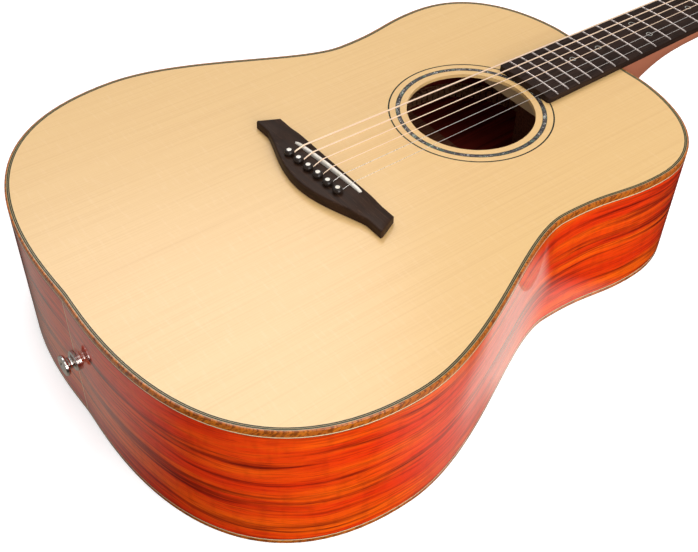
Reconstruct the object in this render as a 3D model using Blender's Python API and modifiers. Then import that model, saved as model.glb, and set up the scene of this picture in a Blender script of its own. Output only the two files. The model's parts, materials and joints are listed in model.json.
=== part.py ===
"""Steel-string acoustic guitar with a full-width body, lying on its back.

Everything is laid out in the luthier's frame: origin at the 14th fret on the centre line, level with
the outside of the soundboard, +X to the treble side, +Y to the head, +Z out of the soundboard.
One empty then turns that frame so that the tapered back lies flat on the world's floor.
"""
import math

import bmesh
import bpy
from mathutils import Matrix, Vector

# ---------------------------------------------------------------- driving dimensions (metres)
MM = 0.001
GAP = 0.3 * MM                      # clearance between pieces that touch

SCALE_LENGTH = 645 * MM
BODY_FRET = 14                      # the fret over the edge of the body
FRET_COUNT = 20

NECK_END_Y = -5.7 * MM              # outline of the body, half of it, from the neck to the tail
NECK_FLAT_X = 46 * MM
UPPER_BOUT = (144.3 * MM, -90.1 * MM)
WAIST = (134.8 * MM, -180.9 * MM)
LOWER_BOUT = (198.0 * MM, -364.9 * MM)
TAIL_Y = -503.0 * MM
SHOULDER_PULL = (4 * MM, 81.1 * MM)        # how far each stretch of the outline follows its ends
CHEST_PULL = (38.5 * MM, 46.6 * MM)
HIP_PULL = (40.6 * MM, 65.6 * MM)
TAIL_PULL = (156.3 * MM, 28.3 * MM)

NECK_END_DEPTH = 99 * MM            # outside depth of the body at the neck and at the tail
TAIL_DEPTH = 121 * MM
REST_Y = -250 * MM                  # where the world origin sits along the back

TOP_T = 3.0 * MM
BACK_T = 2.5 * MM
SIDE_T = 2.2 * MM
BINDING_W = 2.2 * MM
TOP_BINDING_H = 4.9 * MM
BACK_BINDING_H = 3.7 * MM
LINING_W = 6.0 * MM
TOP_LINING_H = 14.0 * MM
BACK_LINING_H = 12.0 * MM
ROD_GAP_X = 3.8 * MM                # half the opening that lets the truss rod through

HOLE_Y = -151.0 * MM
HOLE_R = 51.0 * MM
ROSETTE_R = (55.8 * MM, 59.9 * MM)
ROSETTE_T = 1.2 * MM

NECK_BLOCK = (80 * MM, 46 * MM)     # width and length along the body
TAIL_BLOCK = (92 * MM, 20 * MM)

BRACE_W = 8 * MM
BRACE_REACH = 0.35                  # longer than any brace before it is cut to the body
X_BRACE_H = 14 * MM
X_CROSS_Y = -228 * MM
X_ANGLE = 46.5                      # degrees between a leg and the centre line
UPPER_BRACE = (-84 * MM, 14 * MM, 18.5 * MM)          # middle, width along Y, depth
TONE_BARS = (((-95, -345), (105, -385)), ((-70, -395), (110, -440)))
TONE_BAR_H = 11 * MM
BACK_BRACES = ((-120, 20, 15), (-215, 10, 14), (-315, 20, 10), (-415, 20, 10))   # y, width, height

BRIDGE_FRONT_Y = -285 * MM
BRIDGE_BACK_Y = -302.3 * MM
BRIDGE_BELLY = 16 * MM
BRIDGE_HALF_FRONT = 69.5 * MM
BRIDGE_HALF_BACK = 77 * MM
BRIDGE_H = 8 * MM
WING_H = 6.6 * MM
SADDLE_Y = -291.2 * MM
SADDLE_SLANT = 0.063                # rise along Y for each step along X, shared by the pins
SADDLE = (75 * MM, 3.0 * MM)
SADDLE_TOP = 11.3 * MM
SADDLE_SLOT = 4.5 * MM
PIN_Y = -304.4 * MM
PIN_PITCH = 11 * MM
PIN_HOLE_R = 3.0 * MM
PIN_SHAFT_R = 2.4 * MM
PIN_HEAD = ((0, 4.2), (2.6, 3.9), (3.7, 2.9), (3.9, 1.9), (3.4, 0.8), (3.4, 0))      # radius, height, in mm
PIN_END_Z = -17 * MM
PIN_NOTCH = 6.8 * MM                # from the middle of a pin hole to the end of its string notch
STRING_UP = (3.5 * MM, 5.7 * MM)    # where a string rises, and where it lies on the bridge, before its pin

BOARD_T = 6 * MM
BOARD_RADIUS = 406 * MM
BOARD_NUT_HALF = 21.5 * MM
BOARD_BODY_HALF = 27.7 * MM         # at the 14th fret
BOARD_END_Y = -94.5 * MM
FRET_W = 2.0 * MM
FRET_H = 1.0 * MM
FRET_INSET = 1.3 * MM

NUT = (5.0 * MM, 8.6 * MM)          # thickness and height above the neck
NUT_PITCH = 7.2 * MM
SLOT_ROOM = 1.0 * MM                # each side of a string, which leaves the nut at a slant
STRING_OVER_NUT = 7.7 * MM
STRING_GAUGES = tuple(g * MM for g in (1.35, 1.07, 0.81, 0.61, 0.41, 0.305))
BALL_END_Z = -14 * MM
WRAPS = 1.4                         # turns of each string round its post

HEEL_DEPTH = 92 * MM
HEAD_ANGLE = 14.0
HEAD_T = 14.5 * MM
VENEER_T = 2.0 * MM
HEAD_LENGTH = 168 * MM
HEAD_POST_Y = (36 * MM, 76 * MM, 116 * MM)
HEAD_POST_X = (24 * MM, 25.5 * MM, 27 * MM)

ROD_Z = -6.7 * MM
ROD_R = 2.9 * MM
ROD_NUT = (-57 * MM, -66 * MM, 3.3 * MM)               # ends along Y, radius

POST_R = 3.0 * MM
POST_HOLE_R = 4.0 * MM
GEAR_R = 4.6 * MM
GEAR_T = 3.2 * MM
WORM_R = 2.2 * MM
WORM_OFFSET = 7.1 * MM
SHAFT_DROP = 6.4 * MM               # worm axis below the back of the head
HOUSING = (17 * MM, 23 * MM, 11.5 * MM)
HOUSING_WALL = 1.5 * MM
KNOB_OUT = 23.5 * MM                # middle of the button, outwards from its post
KNOB = (7.5 * MM, 9.5 * MM, 3.2 * MM)                  # half sizes of the button

JACK_Z = -63 * MM
JACK_R = 6.0 * MM

TAPER = math.atan((TAIL_DEPTH - NECK_END_DEPTH) / (NECK_END_Y - TAIL_Y))
NUT_Y = SCALE_LENGTH * (1 - 2 ** (-BODY_FRET / 12))
BOARD_TOP = GAP + BOARD_T
BRIDGE_TOP = GAP + BRIDGE_H
HEAD_BACK = -VENEER_T - GAP - HEAD_T - GAP     # where the tuners sit, below the face of the head
BIG = 0.4                           # half size of a cutter that only has to reach past everything


# ---------------------------------------------------------------- scene helpers
def clear_scene():
    for obj in list(bpy.data.objects):
        bpy.data.objects.remove(obj, do_unlink=True)
    for name in ("acoustic_guitar", "cutters"):
        group = bpy.data.collections.new(name)
        bpy.context.scene.collection.children.link(group)


def link(obj, group="acoustic_guitar"):
    bpy.data.collections[group].objects.link(obj)
    return obj


def material(name, colour, roughness, metallic=0.0):
    mat = bpy.data.materials.get(name)
    if mat is None:
        mat = bpy.data.materials.new(name)
        mat.use_nodes = True
        shader = mat.node_tree.nodes["Principled BSDF"]
        shader.inputs["Base Color"].default_value = (*colour, 1.0)
        shader.inputs["Roughness"].default_value = roughness
        shader.inputs["Metallic"].default_value = metallic
    return mat


def spruce():
    return material("spruce", (0.83, 0.62, 0.34), 0.35)


def koa():
    return material("orange_hardwood", (0.55, 0.10, 0.02), 0.2)


def mahogany():
    return material("neck_hardwood", (0.36, 0.10, 0.05), 0.3)


def lining_wood():
    return material("lining_wood", (0.34, 0.16, 0.07), 0.6)


def flamed_maple():
    return material("flamed_binding", (0.62, 0.30, 0.06), 0.25)


def ebony():
    return material("dark_fingerboard_wood", (0.03, 0.02, 0.016), 0.45)


def bone():
    return material("bone", (0.85, 0.80, 0.70), 0.35)


def shell():
    return material("shell", (0.30, 0.33, 0.36), 0.25)


def black_plastic():
    return material("black_pin", (0.015, 0.013, 0.012), 0.25)


def bronze():
    return material("wound_bronze", (0.80, 0.48, 0.28), 0.3, 1.0)


def steel():
    return material("steel", (0.62, 0.62, 0.62), 0.25, 1.0)


def chrome():
    return material("chrome", (0.75, 0.75, 0.76), 0.12, 1.0)


def mesh_object(name, mesh):
    return link(bpy.data.objects.new(name, mesh))


def finish(obj, mat, parent):
    """Give a piece its material and its frame, and shade it smooth across shallow edges."""
    obj.data.materials.clear()
    obj.data.materials.append(mat)
    if obj.type == "MESH":
        obj.data.shade_smooth()
        obj.data.set_sharp_from_angle(angle=math.radians(35))
    obj.parent = parent
    return obj


def empty(name, parent=None):
    obj = link(bpy.data.objects.new(name, None))
    obj.parent = parent
    return obj


def as_cutter(obj, parent=None):
    """Move a helper solid to the cutters' collection."""
    for group in list(obj.users_collection):
        group.objects.unlink(obj)
    link(obj, "cutters")
    obj.display_type = "WIRE"
    obj.hide_render = True
    obj.parent = parent
    return obj


def boolean(obj, cutter, operation):
    modifier = obj.modifiers.new(operation.title(), "BOOLEAN")
    modifier.operation = operation
    modifier.solver = "EXACT"
    modifier.object = cutter
    return obj


def to_mesh(obj):
    """Freeze a curve or a piece with modifiers as a welded mesh object of the same name."""
    bpy.context.view_layer.update()
    graph = bpy.context.evaluated_depsgraph_get()
    mesh = bpy.data.meshes.new_from_object(obj.evaluated_get(graph))
    name, place = obj.name, obj.matrix_world.copy()
    bpy.data.objects.remove(obj, do_unlink=True)
    work = bmesh.new()
    work.from_mesh(mesh)
    bmesh.ops.remove_doubles(work, verts=work.verts, dist=1e-6)
    work.to_mesh(mesh)
    work.free()
    result = mesh_object(name, mesh)
    result.matrix_world = place
    return result


# ---------------------------------------------------------------- shape helpers
def plate(name, loops, low, high):
    """A flat outline, with any holes in it, from one height to another."""
    curve = bpy.data.curves.new(name, "CURVE")
    curve.dimensions = "2D"
    curve.fill_mode = "BOTH"
    curve.extrude = (high - low) / 2
    for loop in loops:
        spline = curve.splines.new("POLY")
        spline.points.add(len(loop) - 1)
        for point, (x, y) in zip(spline.points, loop):
            point.co = (x, y, 0, 1)
        spline.use_cyclic_u = True
    obj = link(bpy.data.objects.new(name, curve))
    obj.location.z = (low + high) / 2
    return bake_place(to_mesh(obj))


def bake_place(obj):
    obj.data.transform(obj.matrix_world)
    obj.matrix_world = Matrix()
    return obj


def box(name, low, high):
    bpy.ops.mesh.primitive_cube_add(size=1)
    obj = bpy.context.object
    for group in list(obj.users_collection):
        group.objects.unlink(obj)
    obj.name = name
    low, high = Vector(low), Vector(high)
    obj.data.transform(Matrix.Translation((low + high) / 2) @ Matrix.Diagonal((*(high - low), 1)))
    return link(obj)


def bar(name, start, end, width, low, high):
    """A straight bar of the given width between two points of the plan."""
    start, end = Vector(start), Vector(end)
    length = (end - start).length
    obj = box(name, (-length / 2, -width / 2, low), (length / 2, width / 2, high))
    middle = (start + end) / 2
    turn = Matrix.Rotation(math.atan2(end.y - start.y, end.x - start.x), 4, "Z")
    obj.data.transform(Matrix.Translation((middle.x, middle.y, 0)) @ turn)
    return obj


def rod(name, radius, low, high, place, steps=16):
    """A cylinder along its local Z, put where the matrix says."""
    mesh = bpy.data.meshes.new(name)
    work = bmesh.new()
    bmesh.ops.create_cone(work, cap_ends=True, segments=steps, radius1=radius, radius2=radius,
                          depth=high - low, matrix=place @ Matrix.Translation((0, 0, (low + high) / 2)))
    work.to_mesh(mesh)
    work.free()
    return mesh_object(name, mesh)


def turned(name, profile, steps=16):
    """A solid of revolution about local Z from (radius, height) points, from top to bottom."""
    mesh = bpy.data.meshes.new(name)
    mesh.from_pydata([(r, 0, z) for r, z in profile], [(i, i + 1) for i in range(len(profile) - 1)], [])
    obj = mesh_object(name, mesh)
    screw = obj.modifiers.new("Turn", "SCREW")
    screw.axis = "Z"
    screw.steps = steps
    screw.render_steps = steps
    screw.use_merge_vertices = True
    screw.merge_threshold = 1e-5
    return to_mesh(obj)


def loft(name, sections):
    """Join sections that have the same number of points, and close both ends."""
    mesh = bpy.data.meshes.new(name)
    work = bmesh.new()
    rings = [[work.verts.new(point) for point in section] for section in sections]
    for here, there in zip(rings, rings[1:]):
        for i in range(len(here)):
            j = (i + 1) % len(here)
            work.faces.new((here[i], here[j], there[j], there[i]))
    work.faces.new(list(reversed(rings[0])))
    work.faces.new(rings[-1])
    bmesh.ops.recalc_face_normals(work, faces=work.faces)
    work.to_mesh(mesh)
    work.free()
    return mesh_object(name, mesh)


def wire(name, points, radius):
    curve = bpy.data.curves.new(name, "CURVE")
    curve.dimensions = "3D"
    curve.bevel_depth = radius
    curve.bevel_resolution = 2
    curve.use_fill_caps = True
    spline = curve.splines.new("POLY")
    spline.points.add(len(points) - 1)
    for point, place in zip(spline.points, points):
        point.co = (*place, 1)
    return link(bpy.data.objects.new(name, curve))


def arc_loop(x, y, radius, steps):
    turn = [2 * math.pi * i / steps for i in range(steps)]
    return [(x + radius * math.cos(a), y + radius * math.sin(a)) for a in turn]


def merge(obj, other):
    """Join a second solid to a piece and drop the helper."""
    boolean(obj, other, "UNION")
    result = to_mesh(obj)
    bpy.data.objects.remove(other, do_unlink=True)
    return result


# ---------------------------------------------------------------- body outline
def bezier(start, pull_start, pull_end, end, steps):
    points = []
    for i in range(steps):
        t = i / steps
        s = 1 - t
        parts = (s ** 3, 3 * t * s * s, 3 * t * t * s, t ** 3)
        corners = (start, pull_start, pull_end, end)
        points.append(tuple(sum(k * c[axis] for k, c in zip(parts, corners)) for axis in (0, 1)))
    return points


def half_outline():
    """The treble half of the body's outline, from the neck to the tail."""
    neck, tail = (NECK_FLAT_X, NECK_END_Y), (0.0, TAIL_Y)
    (ux, uy), (wx, wy), (lx, ly) = UPPER_BOUT, WAIST, LOWER_BOUT
    points = [(0.0, NECK_END_Y)]
    points += bezier(neck, (neck[0] + SHOULDER_PULL[0], neck[1]), (ux, uy + SHOULDER_PULL[1]), UPPER_BOUT, 8)
    points += bezier(UPPER_BOUT, (ux, uy - CHEST_PULL[0]), (wx, wy + CHEST_PULL[1]), WAIST, 5)
    points += bezier(WAIST, (wx, wy - HIP_PULL[0]), (lx, ly + HIP_PULL[1]), LOWER_BOUT, 8)
    points += bezier(LOWER_BOUT, (lx, ly - TAIL_PULL[0]), (tail[0] + TAIL_PULL[1], tail[1]), tail, 12)
    return points + [tail]


def inset_half(inset):
    """The half outline moved inwards, square to itself."""
    points = half_outline()
    moved = []
    for i, (x, y) in enumerate(points):
        before = points[i - 1] if i else (-points[1][0], points[1][1])
        after = points[i + 1] if i + 1 < len(points) else (-points[-2][0], points[-2][1])
        along = Vector((after[0] - before[0], after[1] - before[1])).normalized()
        moved.append((x + along.y * inset, y - along.x * inset))
    moved[0] = (0.0, moved[0][1])
    moved[-1] = (0.0, moved[-1][1])
    return moved


def full_loop(inset):
    half = inset_half(inset)
    return half + [(-x, y) for x, y in reversed(half[1:-1])]


def open_ring(outer, inner, gap):
    """A ring between two insets, with a gap of the given half width at the neck."""
    def strand(inset):
        half = inset_half(inset)
        half[0] = (gap, half[0][1])
        return half + [(-x, y) for x, y in reversed(half[:-1])]
    return [strand(outer) + list(reversed(strand(inner)))]


def half_strip(outer, inner, neck_gap, tail_gap, side):
    """Half a ring between two insets, on one side of the centre line."""
    def strand(inset):
        half = inset_half(inset)
        half[0] = (neck_gap, half[0][1])
        half[-1] = (tail_gap, half[-1][1])
        return [(side * x, y) for x, y in half]
    return [strand(outer) + list(reversed(strand(inner)))]


def back_depth(y):
    return NECK_END_DEPTH + math.tan(TAPER) * (NECK_END_Y - y)


def above_back(obj, low, high):
    """Keep the part of a piece between two heights above the tapered back."""
    cutter = box(obj.name + "_slab", (-BIG, -BIG, low), (BIG, BIG, high))
    place = Matrix.Translation((0, REST_Y, -back_depth(REST_Y))) @ Matrix.Rotation(TAPER, 4, "X")
    cutter.data.transform(place)
    boolean(obj, cutter, "INTERSECT")
    result = to_mesh(obj)
    bpy.data.objects.remove(cutter, do_unlink=True)
    return result


def cut_now(obj, *cutters):
    """Cut a piece with solids that nothing else needs."""
    for cutter in cutters:
        boolean(obj, cutter, "DIFFERENCE")
    result = to_mesh(obj)
    for cutter in cutters:
        bpy.data.objects.remove(cutter, do_unlink=True)
    return result


def keep_inside(obj, inset):
    cutter = plate(obj.name + "_room", [full_loop(inset)], -BIG, BIG)
    boolean(obj, cutter, "INTERSECT")
    result = to_mesh(obj)
    bpy.data.objects.remove(cutter, do_unlink=True)
    return result


# ---------------------------------------------------------------- body
INSIDE = SIDE_T + GAP                       # inset of what stands against the sides
BRACE_ROOM = INSIDE + LINING_W + GAP
BODY_LOW = -0.135
BODY_BACK_HIGH = -0.080


def pin_places():
    for i in range(6):
        x = (i - 2.5) * PIN_PITCH
        yield i, x, PIN_Y + SADDLE_SLANT * x


def pin_hole_cutter():
    """Six pin holes, each with the notch in front that its string comes up through."""
    holes = None
    for i, x, y in pin_places():
        hole = rod("pin_holes", PIN_HOLE_R, -0.02, 0.02, Matrix.Translation((x, y, 0)), 12)
        half = STRING_GAUGES[i] / 2 + GAP
        notch = box("pin_notch", (x - half, y, -0.02), (x + half, y + PIN_NOTCH, 0.02))
        hole = merge(hole, notch)
        holes = hole if holes is None else merge(holes, hole)
    holes.name = "pin_holes"
    return holes


def jack_hole(parent):
    place = Matrix.Translation((0, TAIL_Y, JACK_Z)) @ Matrix.Rotation(math.radians(90), 4, "X")
    return as_cutter(rod("jack_hole", JACK_R + GAP, -0.05, 0.02, place), parent)


def make_soundboard(frame, pin_holes):
    board = plate("soundboard", [full_loop(BINDING_W + GAP), arc_loop(0, HOLE_Y, HOLE_R, 40)], -TOP_T, 0)
    groove = plate("rosette_groove", [arc_loop(0, HOLE_Y, ROSETTE_R[1] + GAP, 40),
                                      arc_loop(0, HOLE_Y, ROSETTE_R[0] - GAP, 40)],
                   -ROSETTE_T - GAP, 5 * MM)
    board = cut_now(board, groove)
    boolean(board, pin_holes, "DIFFERENCE")
    finish(board, spruce(), frame)
    ring = plate("rosette", [arc_loop(0, HOLE_Y, ROSETTE_R[1], 40), arc_loop(0, HOLE_Y, ROSETTE_R[0], 40)],
                 -ROSETTE_T, 0)
    finish(ring, shell(), frame)


def make_back(frame):
    back = above_back(plate("back_plate", [full_loop(BINDING_W + GAP)], BODY_LOW, BODY_BACK_HIGH), 0, BACK_T)
    finish(back, koa(), frame)
    ring = plate("back_binding", [full_loop(0), full_loop(BINDING_W)], BODY_LOW, BODY_BACK_HIGH)
    finish(above_back(ring, 0, BACK_BINDING_H), flamed_maple(), frame)
    lining = plate("back_lining", [full_loop(INSIDE), full_loop(INSIDE + LINING_W)], BODY_LOW, BODY_BACK_HIGH)
    finish(above_back(lining, BACK_T + GAP, BACK_T + GAP + BACK_LINING_H), lining_wood(), frame)


def make_sides(frame, hole):
    for name, side in (("side_bass", -1), ("side_treble", 1)):
        strip = half_strip(0, SIDE_T, ROD_GAP_X, GAP / 2, side)
        rim = plate(name, strip, BODY_LOW, -TOP_BINDING_H - GAP)
        rim = above_back(rim, BACK_BINDING_H + GAP, BIG)
        boolean(rim, hole, "DIFFERENCE")
        finish(rim, koa(), frame)


def make_top_edge(frame):
    ring = plate("top_binding", open_ring(0, BINDING_W, ROD_GAP_X), -TOP_BINDING_H, 0)
    finish(ring, flamed_maple(), frame)
    high = -TOP_T - GAP
    lining = plate("top_lining", open_ring(INSIDE, INSIDE + LINING_W, ROD_GAP_X), high - TOP_LINING_H, high)
    finish(lining, lining_wood(), frame)


def lining_rooms(name):
    """Solids a little larger than the two linings, which a block is rebated for."""
    rings = [full_loop(INSIDE - SIDE_T), full_loop(INSIDE + LINING_W + GAP)]
    top = plate(name + "_top_room", rings, -TOP_T - 2 * GAP - TOP_LINING_H, 0)
    low = plate(name + "_low_room", rings, BODY_LOW, BODY_BACK_HIGH)
    return top, above_back(low, -GAP, BACK_T + 2 * GAP + BACK_LINING_H)


def make_block(name, size, y_edge, inward, frame, *cutters):
    """A block between the top and the back, against the side at one end of the body."""
    width, length = size
    ends = sorted((y_edge, y_edge + inward * length))
    block = box(name, (-width / 2, ends[0], BODY_LOW), (width / 2, ends[1], -TOP_T - GAP))
    block = keep_inside(block, INSIDE)
    block = above_back(block, BACK_T + GAP, BIG)
    block = cut_now(block, *lining_rooms(name))
    for cutter in cutters:
        boolean(block, cutter, "DIFFERENCE")
    finish(block, mahogany(), frame)


def make_blocks(frame, hole):
    room = ROD_R + 0.6 * MM
    channel = box("rod_room", (-room, -0.08, ROD_Z - room), (room, 0.02, 0.01))
    as_cutter(channel, frame)
    make_block("neck_block", NECK_BLOCK, NECK_END_Y, -1, frame, channel)
    make_block("tail_block", TAIL_BLOCK, TAIL_Y, 1, frame, hole)


def leg_ends(side, reach):
    dx = side * math.sin(math.radians(X_ANGLE)) * reach
    dy = math.cos(math.radians(X_ANGLE)) * reach
    return (-dx, X_CROSS_Y + dy), (dx, X_CROSS_Y - dy)


def make_x_braces(frame):
    """Two long braces that cross in a half lap behind the soundhole."""
    high = -TOP_T - GAP
    low = high - X_BRACE_H
    middle = (high + low) / 2
    for name, side, lap in (("x_brace_bass", 1, (middle - GAP / 2, high + MM)),
                            ("x_brace_treble", -1, (low - MM, middle + GAP / 2))):
        brace = bar(name, *leg_ends(side, BRACE_REACH), BRACE_W, low, high)
        brace = keep_inside(brace, BRACE_ROOM)
        brace = cut_now(brace, bar("lap", *leg_ends(-side, BRACE_REACH), BRACE_W + 2 * GAP, *lap))
        finish(brace, spruce(), frame)


def make_top_braces(frame, pin_holes):
    high = -TOP_T - GAP
    y, width, depth = UPPER_BRACE
    brace = box("upper_brace", (-0.2, y - width / 2, high - depth), (0.2, y + width / 2, high))
    finish(keep_inside(brace, BRACE_ROOM), spruce(), frame)
    for name, ends in zip(("tone_bar_upper", "tone_bar_lower"), TONE_BARS):
        start, end = (tuple(c * MM for c in point) for point in ends)
        finish(bar(name, start, end, BRACE_W - 2 * MM, high - TONE_BAR_H, high), spruce(), frame)
    near, far = BRIDGE_FRONT_Y + 4 * MM, BRIDGE_BACK_Y - BRIDGE_BELLY - 6 * MM
    corners = [(-52 * MM, near), (-88 * MM, far), (88 * MM, far), (52 * MM, near)]
    pad = plate("bridge_plate", [corners], high - 2.5 * MM, high)
    legs = [bar("leg_room", *leg_ends(side, BRACE_REACH), BRACE_W + 2 * GAP, high - 0.03, high + 0.01)
            for side in (1, -1)]
    pad = cut_now(pad, *legs)
    boolean(pad, pin_holes, "DIFFERENCE")
    finish(pad, mahogany(), frame)


def make_back_braces(frame):
    for number, (y, width, height) in enumerate(BACK_BRACES, 1):
        y, width, height = y * MM, width * MM, height * MM
        low, high = (-0.2, y - width / 2, BODY_LOW), (0.2, y + width / 2, BODY_BACK_HIGH)
        brace = box(f"back_brace_{number}", low, high)
        brace = keep_inside(brace, BRACE_ROOM)
        finish(above_back(brace, BACK_T + GAP, BACK_T + GAP + height), spruce(), frame)


# ---------------------------------------------------------------- bridge
def bridge_section(x):
    """Front and back edges and height of the bridge at a place along its length."""
    off = abs(x)
    end = max(0.0, (off - BRIDGE_HALF_FRONT) / (BRIDGE_HALF_BACK - BRIDGE_HALF_FRONT))
    front = BRIDGE_FRONT_Y + end * (BRIDGE_BACK_Y + 2 * MM - BRIDGE_FRONT_Y)
    wave = 0.5 + 0.5 * math.cos(math.pi * min(off / (62 * MM), 1.0))
    back = BRIDGE_BACK_Y - BRIDGE_BELLY * wave ** 0.6
    rise = min(max((58 * MM - off) / (16 * MM), 0.0), 1.0)
    height = WING_H + (BRIDGE_H - WING_H) * rise * rise * (3 - 2 * rise)
    return front, back, height


def make_bridge(frame, pin_holes):
    stations = [s * MM for s in (0, 12, 24, 34, 42, 46, 50, 54, 58, 62, 69.5, 77)]
    sections = []
    for x in [-s for s in reversed(stations)] + stations[1:]:
        front, back, height = bridge_section(x)
        edge = 0.8 * MM
        low, high = GAP, GAP + height
        sections.append([(x, front, low), (x, front, high - edge), (x, front - edge, high),
                         (x, back + edge, high), (x, back, high - edge), (x, back, low)])
    bridge = loft("bridge", sections)
    slot = saddle_solid("saddle_slot", GAP, BRIDGE_TOP - SADDLE_SLOT - GAP)
    bridge = cut_now(bridge, slot)
    boolean(bridge, pin_holes, "DIFFERENCE")
    finish(bridge, ebony(), frame)


def saddle_solid(name, grow, low):
    """The saddle's outline from above, with round ends, up to well over its crown."""
    length, thick = SADDLE[0] / 2 + grow, SADDLE[1] / 2 + grow
    flat = length - thick
    quarter = [math.radians(a) for a in range(-90, 91, 30)]
    right = [(flat + thick * math.cos(a), thick * math.sin(a)) for a in quarter]
    loop = right + [(-x, -y) for x, y in right]
    solid = plate(name, [loop], low, SADDLE_TOP + 6 * MM)
    turn = Matrix.Rotation(math.atan(SADDLE_SLANT), 4, "Z")
    solid.data.transform(Matrix.Translation((0, SADDLE_Y, 0)) @ turn)
    return solid


def string_height(x, y):
    """Underside of a string over the frets, at a place between the nut and the saddle."""
    along = (NUT_Y - y) / (NUT_Y - SADDLE_Y)
    return STRING_OVER_NUT + along * (SADDLE_TOP - STRING_OVER_NUT) - x * x / (2 * BOARD_RADIUS)


def make_saddle(frame):
    """A bone bar whose crown follows the curve of the fingerboard."""
    saddle = saddle_solid("saddle", 0, BRIDGE_TOP - SADDLE_SLOT)
    crown = [s * SADDLE[0] / 20 for s in range(-11, 12)]
    loop = [(x, string_height(x, SADDLE_Y) - GAP - (0.8 * MM if abs(x) > 34 * MM else 0)) for x in crown]
    loop += [(crown[-1], 0.05), (crown[0], 0.05)]
    lid = plate("saddle_crown", [loop], -0.02, 0.02)
    lid.data.transform(Matrix.Translation((0, SADDLE_Y, 0)) @ Matrix.Rotation(math.radians(90), 4, "X"))
    finish(cut_now(saddle, lid), bone(), frame)


def make_pins(frame):
    head = BRIDGE_TOP + GAP
    end = PIN_END_Z - head
    for i, x, y in pin_places():
        profile = [(r * MM, z * MM) for r, z in PIN_HEAD]
        profile += [(PIN_SHAFT_R, 0), (1.9 * MM, end + 2 * MM), (0.9 * MM, end), (0, end)]
        pin = turned(f"bridge_pin_{i + 1}", profile, 12)
        pin.location = (x, y, head)
        finish(pin, black_plastic(), frame)


# ---------------------------------------------------------------- neck
def board_half(y):
    return BOARD_NUT_HALF + (BOARD_BODY_HALF - BOARD_NUT_HALF) * (NUT_Y - y) / NUT_Y


def arc_top(half, top, steps=8):
    """Points across a crowned surface, from +X to -X."""
    xs = [half * (1 - 2 * i / steps) for i in range(steps + 1)]
    return [(x, top - x * x / (2 * BOARD_RADIUS)) for x in xs]


def make_fingerboard(frame):
    """The tapered and crowned board with its twenty frets."""
    sections = []
    for y in (NUT_Y - GAP, BOARD_END_Y):
        half = board_half(y)
        sections.append([(x, y, z) for x, z in arc_top(half, BOARD_TOP)] + [(-half, y, GAP), (half, y, GAP)])
    board = loft("fingerboard", sections)
    for number in range(1, FRET_COUNT + 1):
        y = NUT_Y - SCALE_LENGTH * (1 - 2 ** (-number / 12))
        half = board_half(y) - FRET_INSET
        ring = arc_top(half, BOARD_TOP + FRET_H, 6)
        under = [(x, z - FRET_H - 0.6 * MM) for x, z in reversed(ring)]
        ends = [[(x, y + d * FRET_W / 2, z) for x, z in ring + under] for d in (-1, 1)]
        boolean(board, loft("fret", ends), "UNION")
    helpers = [m.object for m in board.modifiers]
    board = to_mesh(board)
    for helper in helpers:
        bpy.data.objects.remove(helper, do_unlink=True)
    finish(board, ebony(), frame)


SHAFT_SHAPE = ((1, 0), (1, 0.15), (0.95, 0.42), (0.8, 0.68), (0.55, 0.88), (0.28, 0.97), (0, 1))
HEEL_SHAPE = ((1, 0), (0.95, 0.2), (0.85, 0.42), (0.72, 0.65), (0.58, 0.85), (0.48, 0.97), (0, 1))


def neck_section(y, depth, heel):
    """The underside of the neck, between the shaft's round and the heel's tall shape."""
    half = board_half(y)
    right = []
    for (x0, z0), (x1, z1) in zip(SHAFT_SHAPE, HEEL_SHAPE):
        right.append((half * (x0 + heel * (x1 - x0)), y, -depth * (z0 + heel * (z1 - z0))))
    return right + [(-x, yy, z) for x, yy, z in reversed(right[:-1])]


def head_frame_matrix():
    tilt = Matrix.Rotation(-math.radians(HEAD_ANGLE), 4, "X")
    return Matrix.Translation((0, NUT_Y + NUT[0] + GAP, 0)) @ tilt


def head_outline(start):
    right = [(23, start), (25.5, 14), (30.5, 27), (32.5, 45), (34.4, 90), (36, 130), (37, 158), (35, 164)]
    right = [(x * MM, y * MM) for x, y in right]
    top = [(20 * MM, HEAD_LENGTH - MM), (0, HEAD_LENGTH)]
    return [right + top + [(-x, y) for x, y in [top[0]] + list(reversed(right))]]


def post_places():
    """Number, side, and place on the head of each tuner, bass side first, from the nut outwards."""
    for i in range(6):
        side = -1 if i < 3 else 1
        row = i if i < 3 else 5 - i
        yield i, side, side * HEAD_POST_X[row], HEAD_POST_Y[row]


def post_holes(place):
    return [rod("post_hole", POST_HOLE_R, -0.03, 0.01, place @ Matrix.Translation((x, y, 0)), 12)
            for _, _, x, y in post_places()]


def make_neck(frame, head):
    """Shaft, heel and head in one piece of wood, slotted for the truss rod."""
    stations = ((NUT_Y + NUT[0], 17.5, 0), (NUT_Y - 8 * MM, 16, 0), (NUT_Y - 25 * MM, 15, 0), (0.2, 16, 0),
                (0.1, 17.5, 0), (0.075, 19, 0.05), (0.056, 24, 0.2), (0.04, 34, 0.45), (0.026, 48, 0.7),
                (0.013, 67, 0.9), (0.004, 82, 1), (NECK_END_Y + GAP, HEEL_DEPTH / MM, 1))
    neck = loft("neck", [neck_section(y, depth * MM, heel) for y, depth, heel in stations])
    blade = plate("head_blade", head_outline(-10), -VENEER_T - GAP - HEAD_T, -VENEER_T - GAP)
    blade.data.transform(head_frame_matrix())
    neck = merge(neck, blade)
    channel = box("rod_channel", (-ROD_R - 0.4 * MM, -0.02, ROD_Z - ROD_R - 0.4 * MM),
                  (ROD_R + 0.4 * MM, NUT_Y - 12 * MM, 0.01))
    finish(cut_now(neck, channel, *post_holes(head_frame_matrix())), mahogany(), frame)
    veneer = plate("headstock_veneer", head_outline(1), -VENEER_T, 0)
    finish(cut_now(veneer, *post_holes(Matrix())), ebony(), head)


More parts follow.
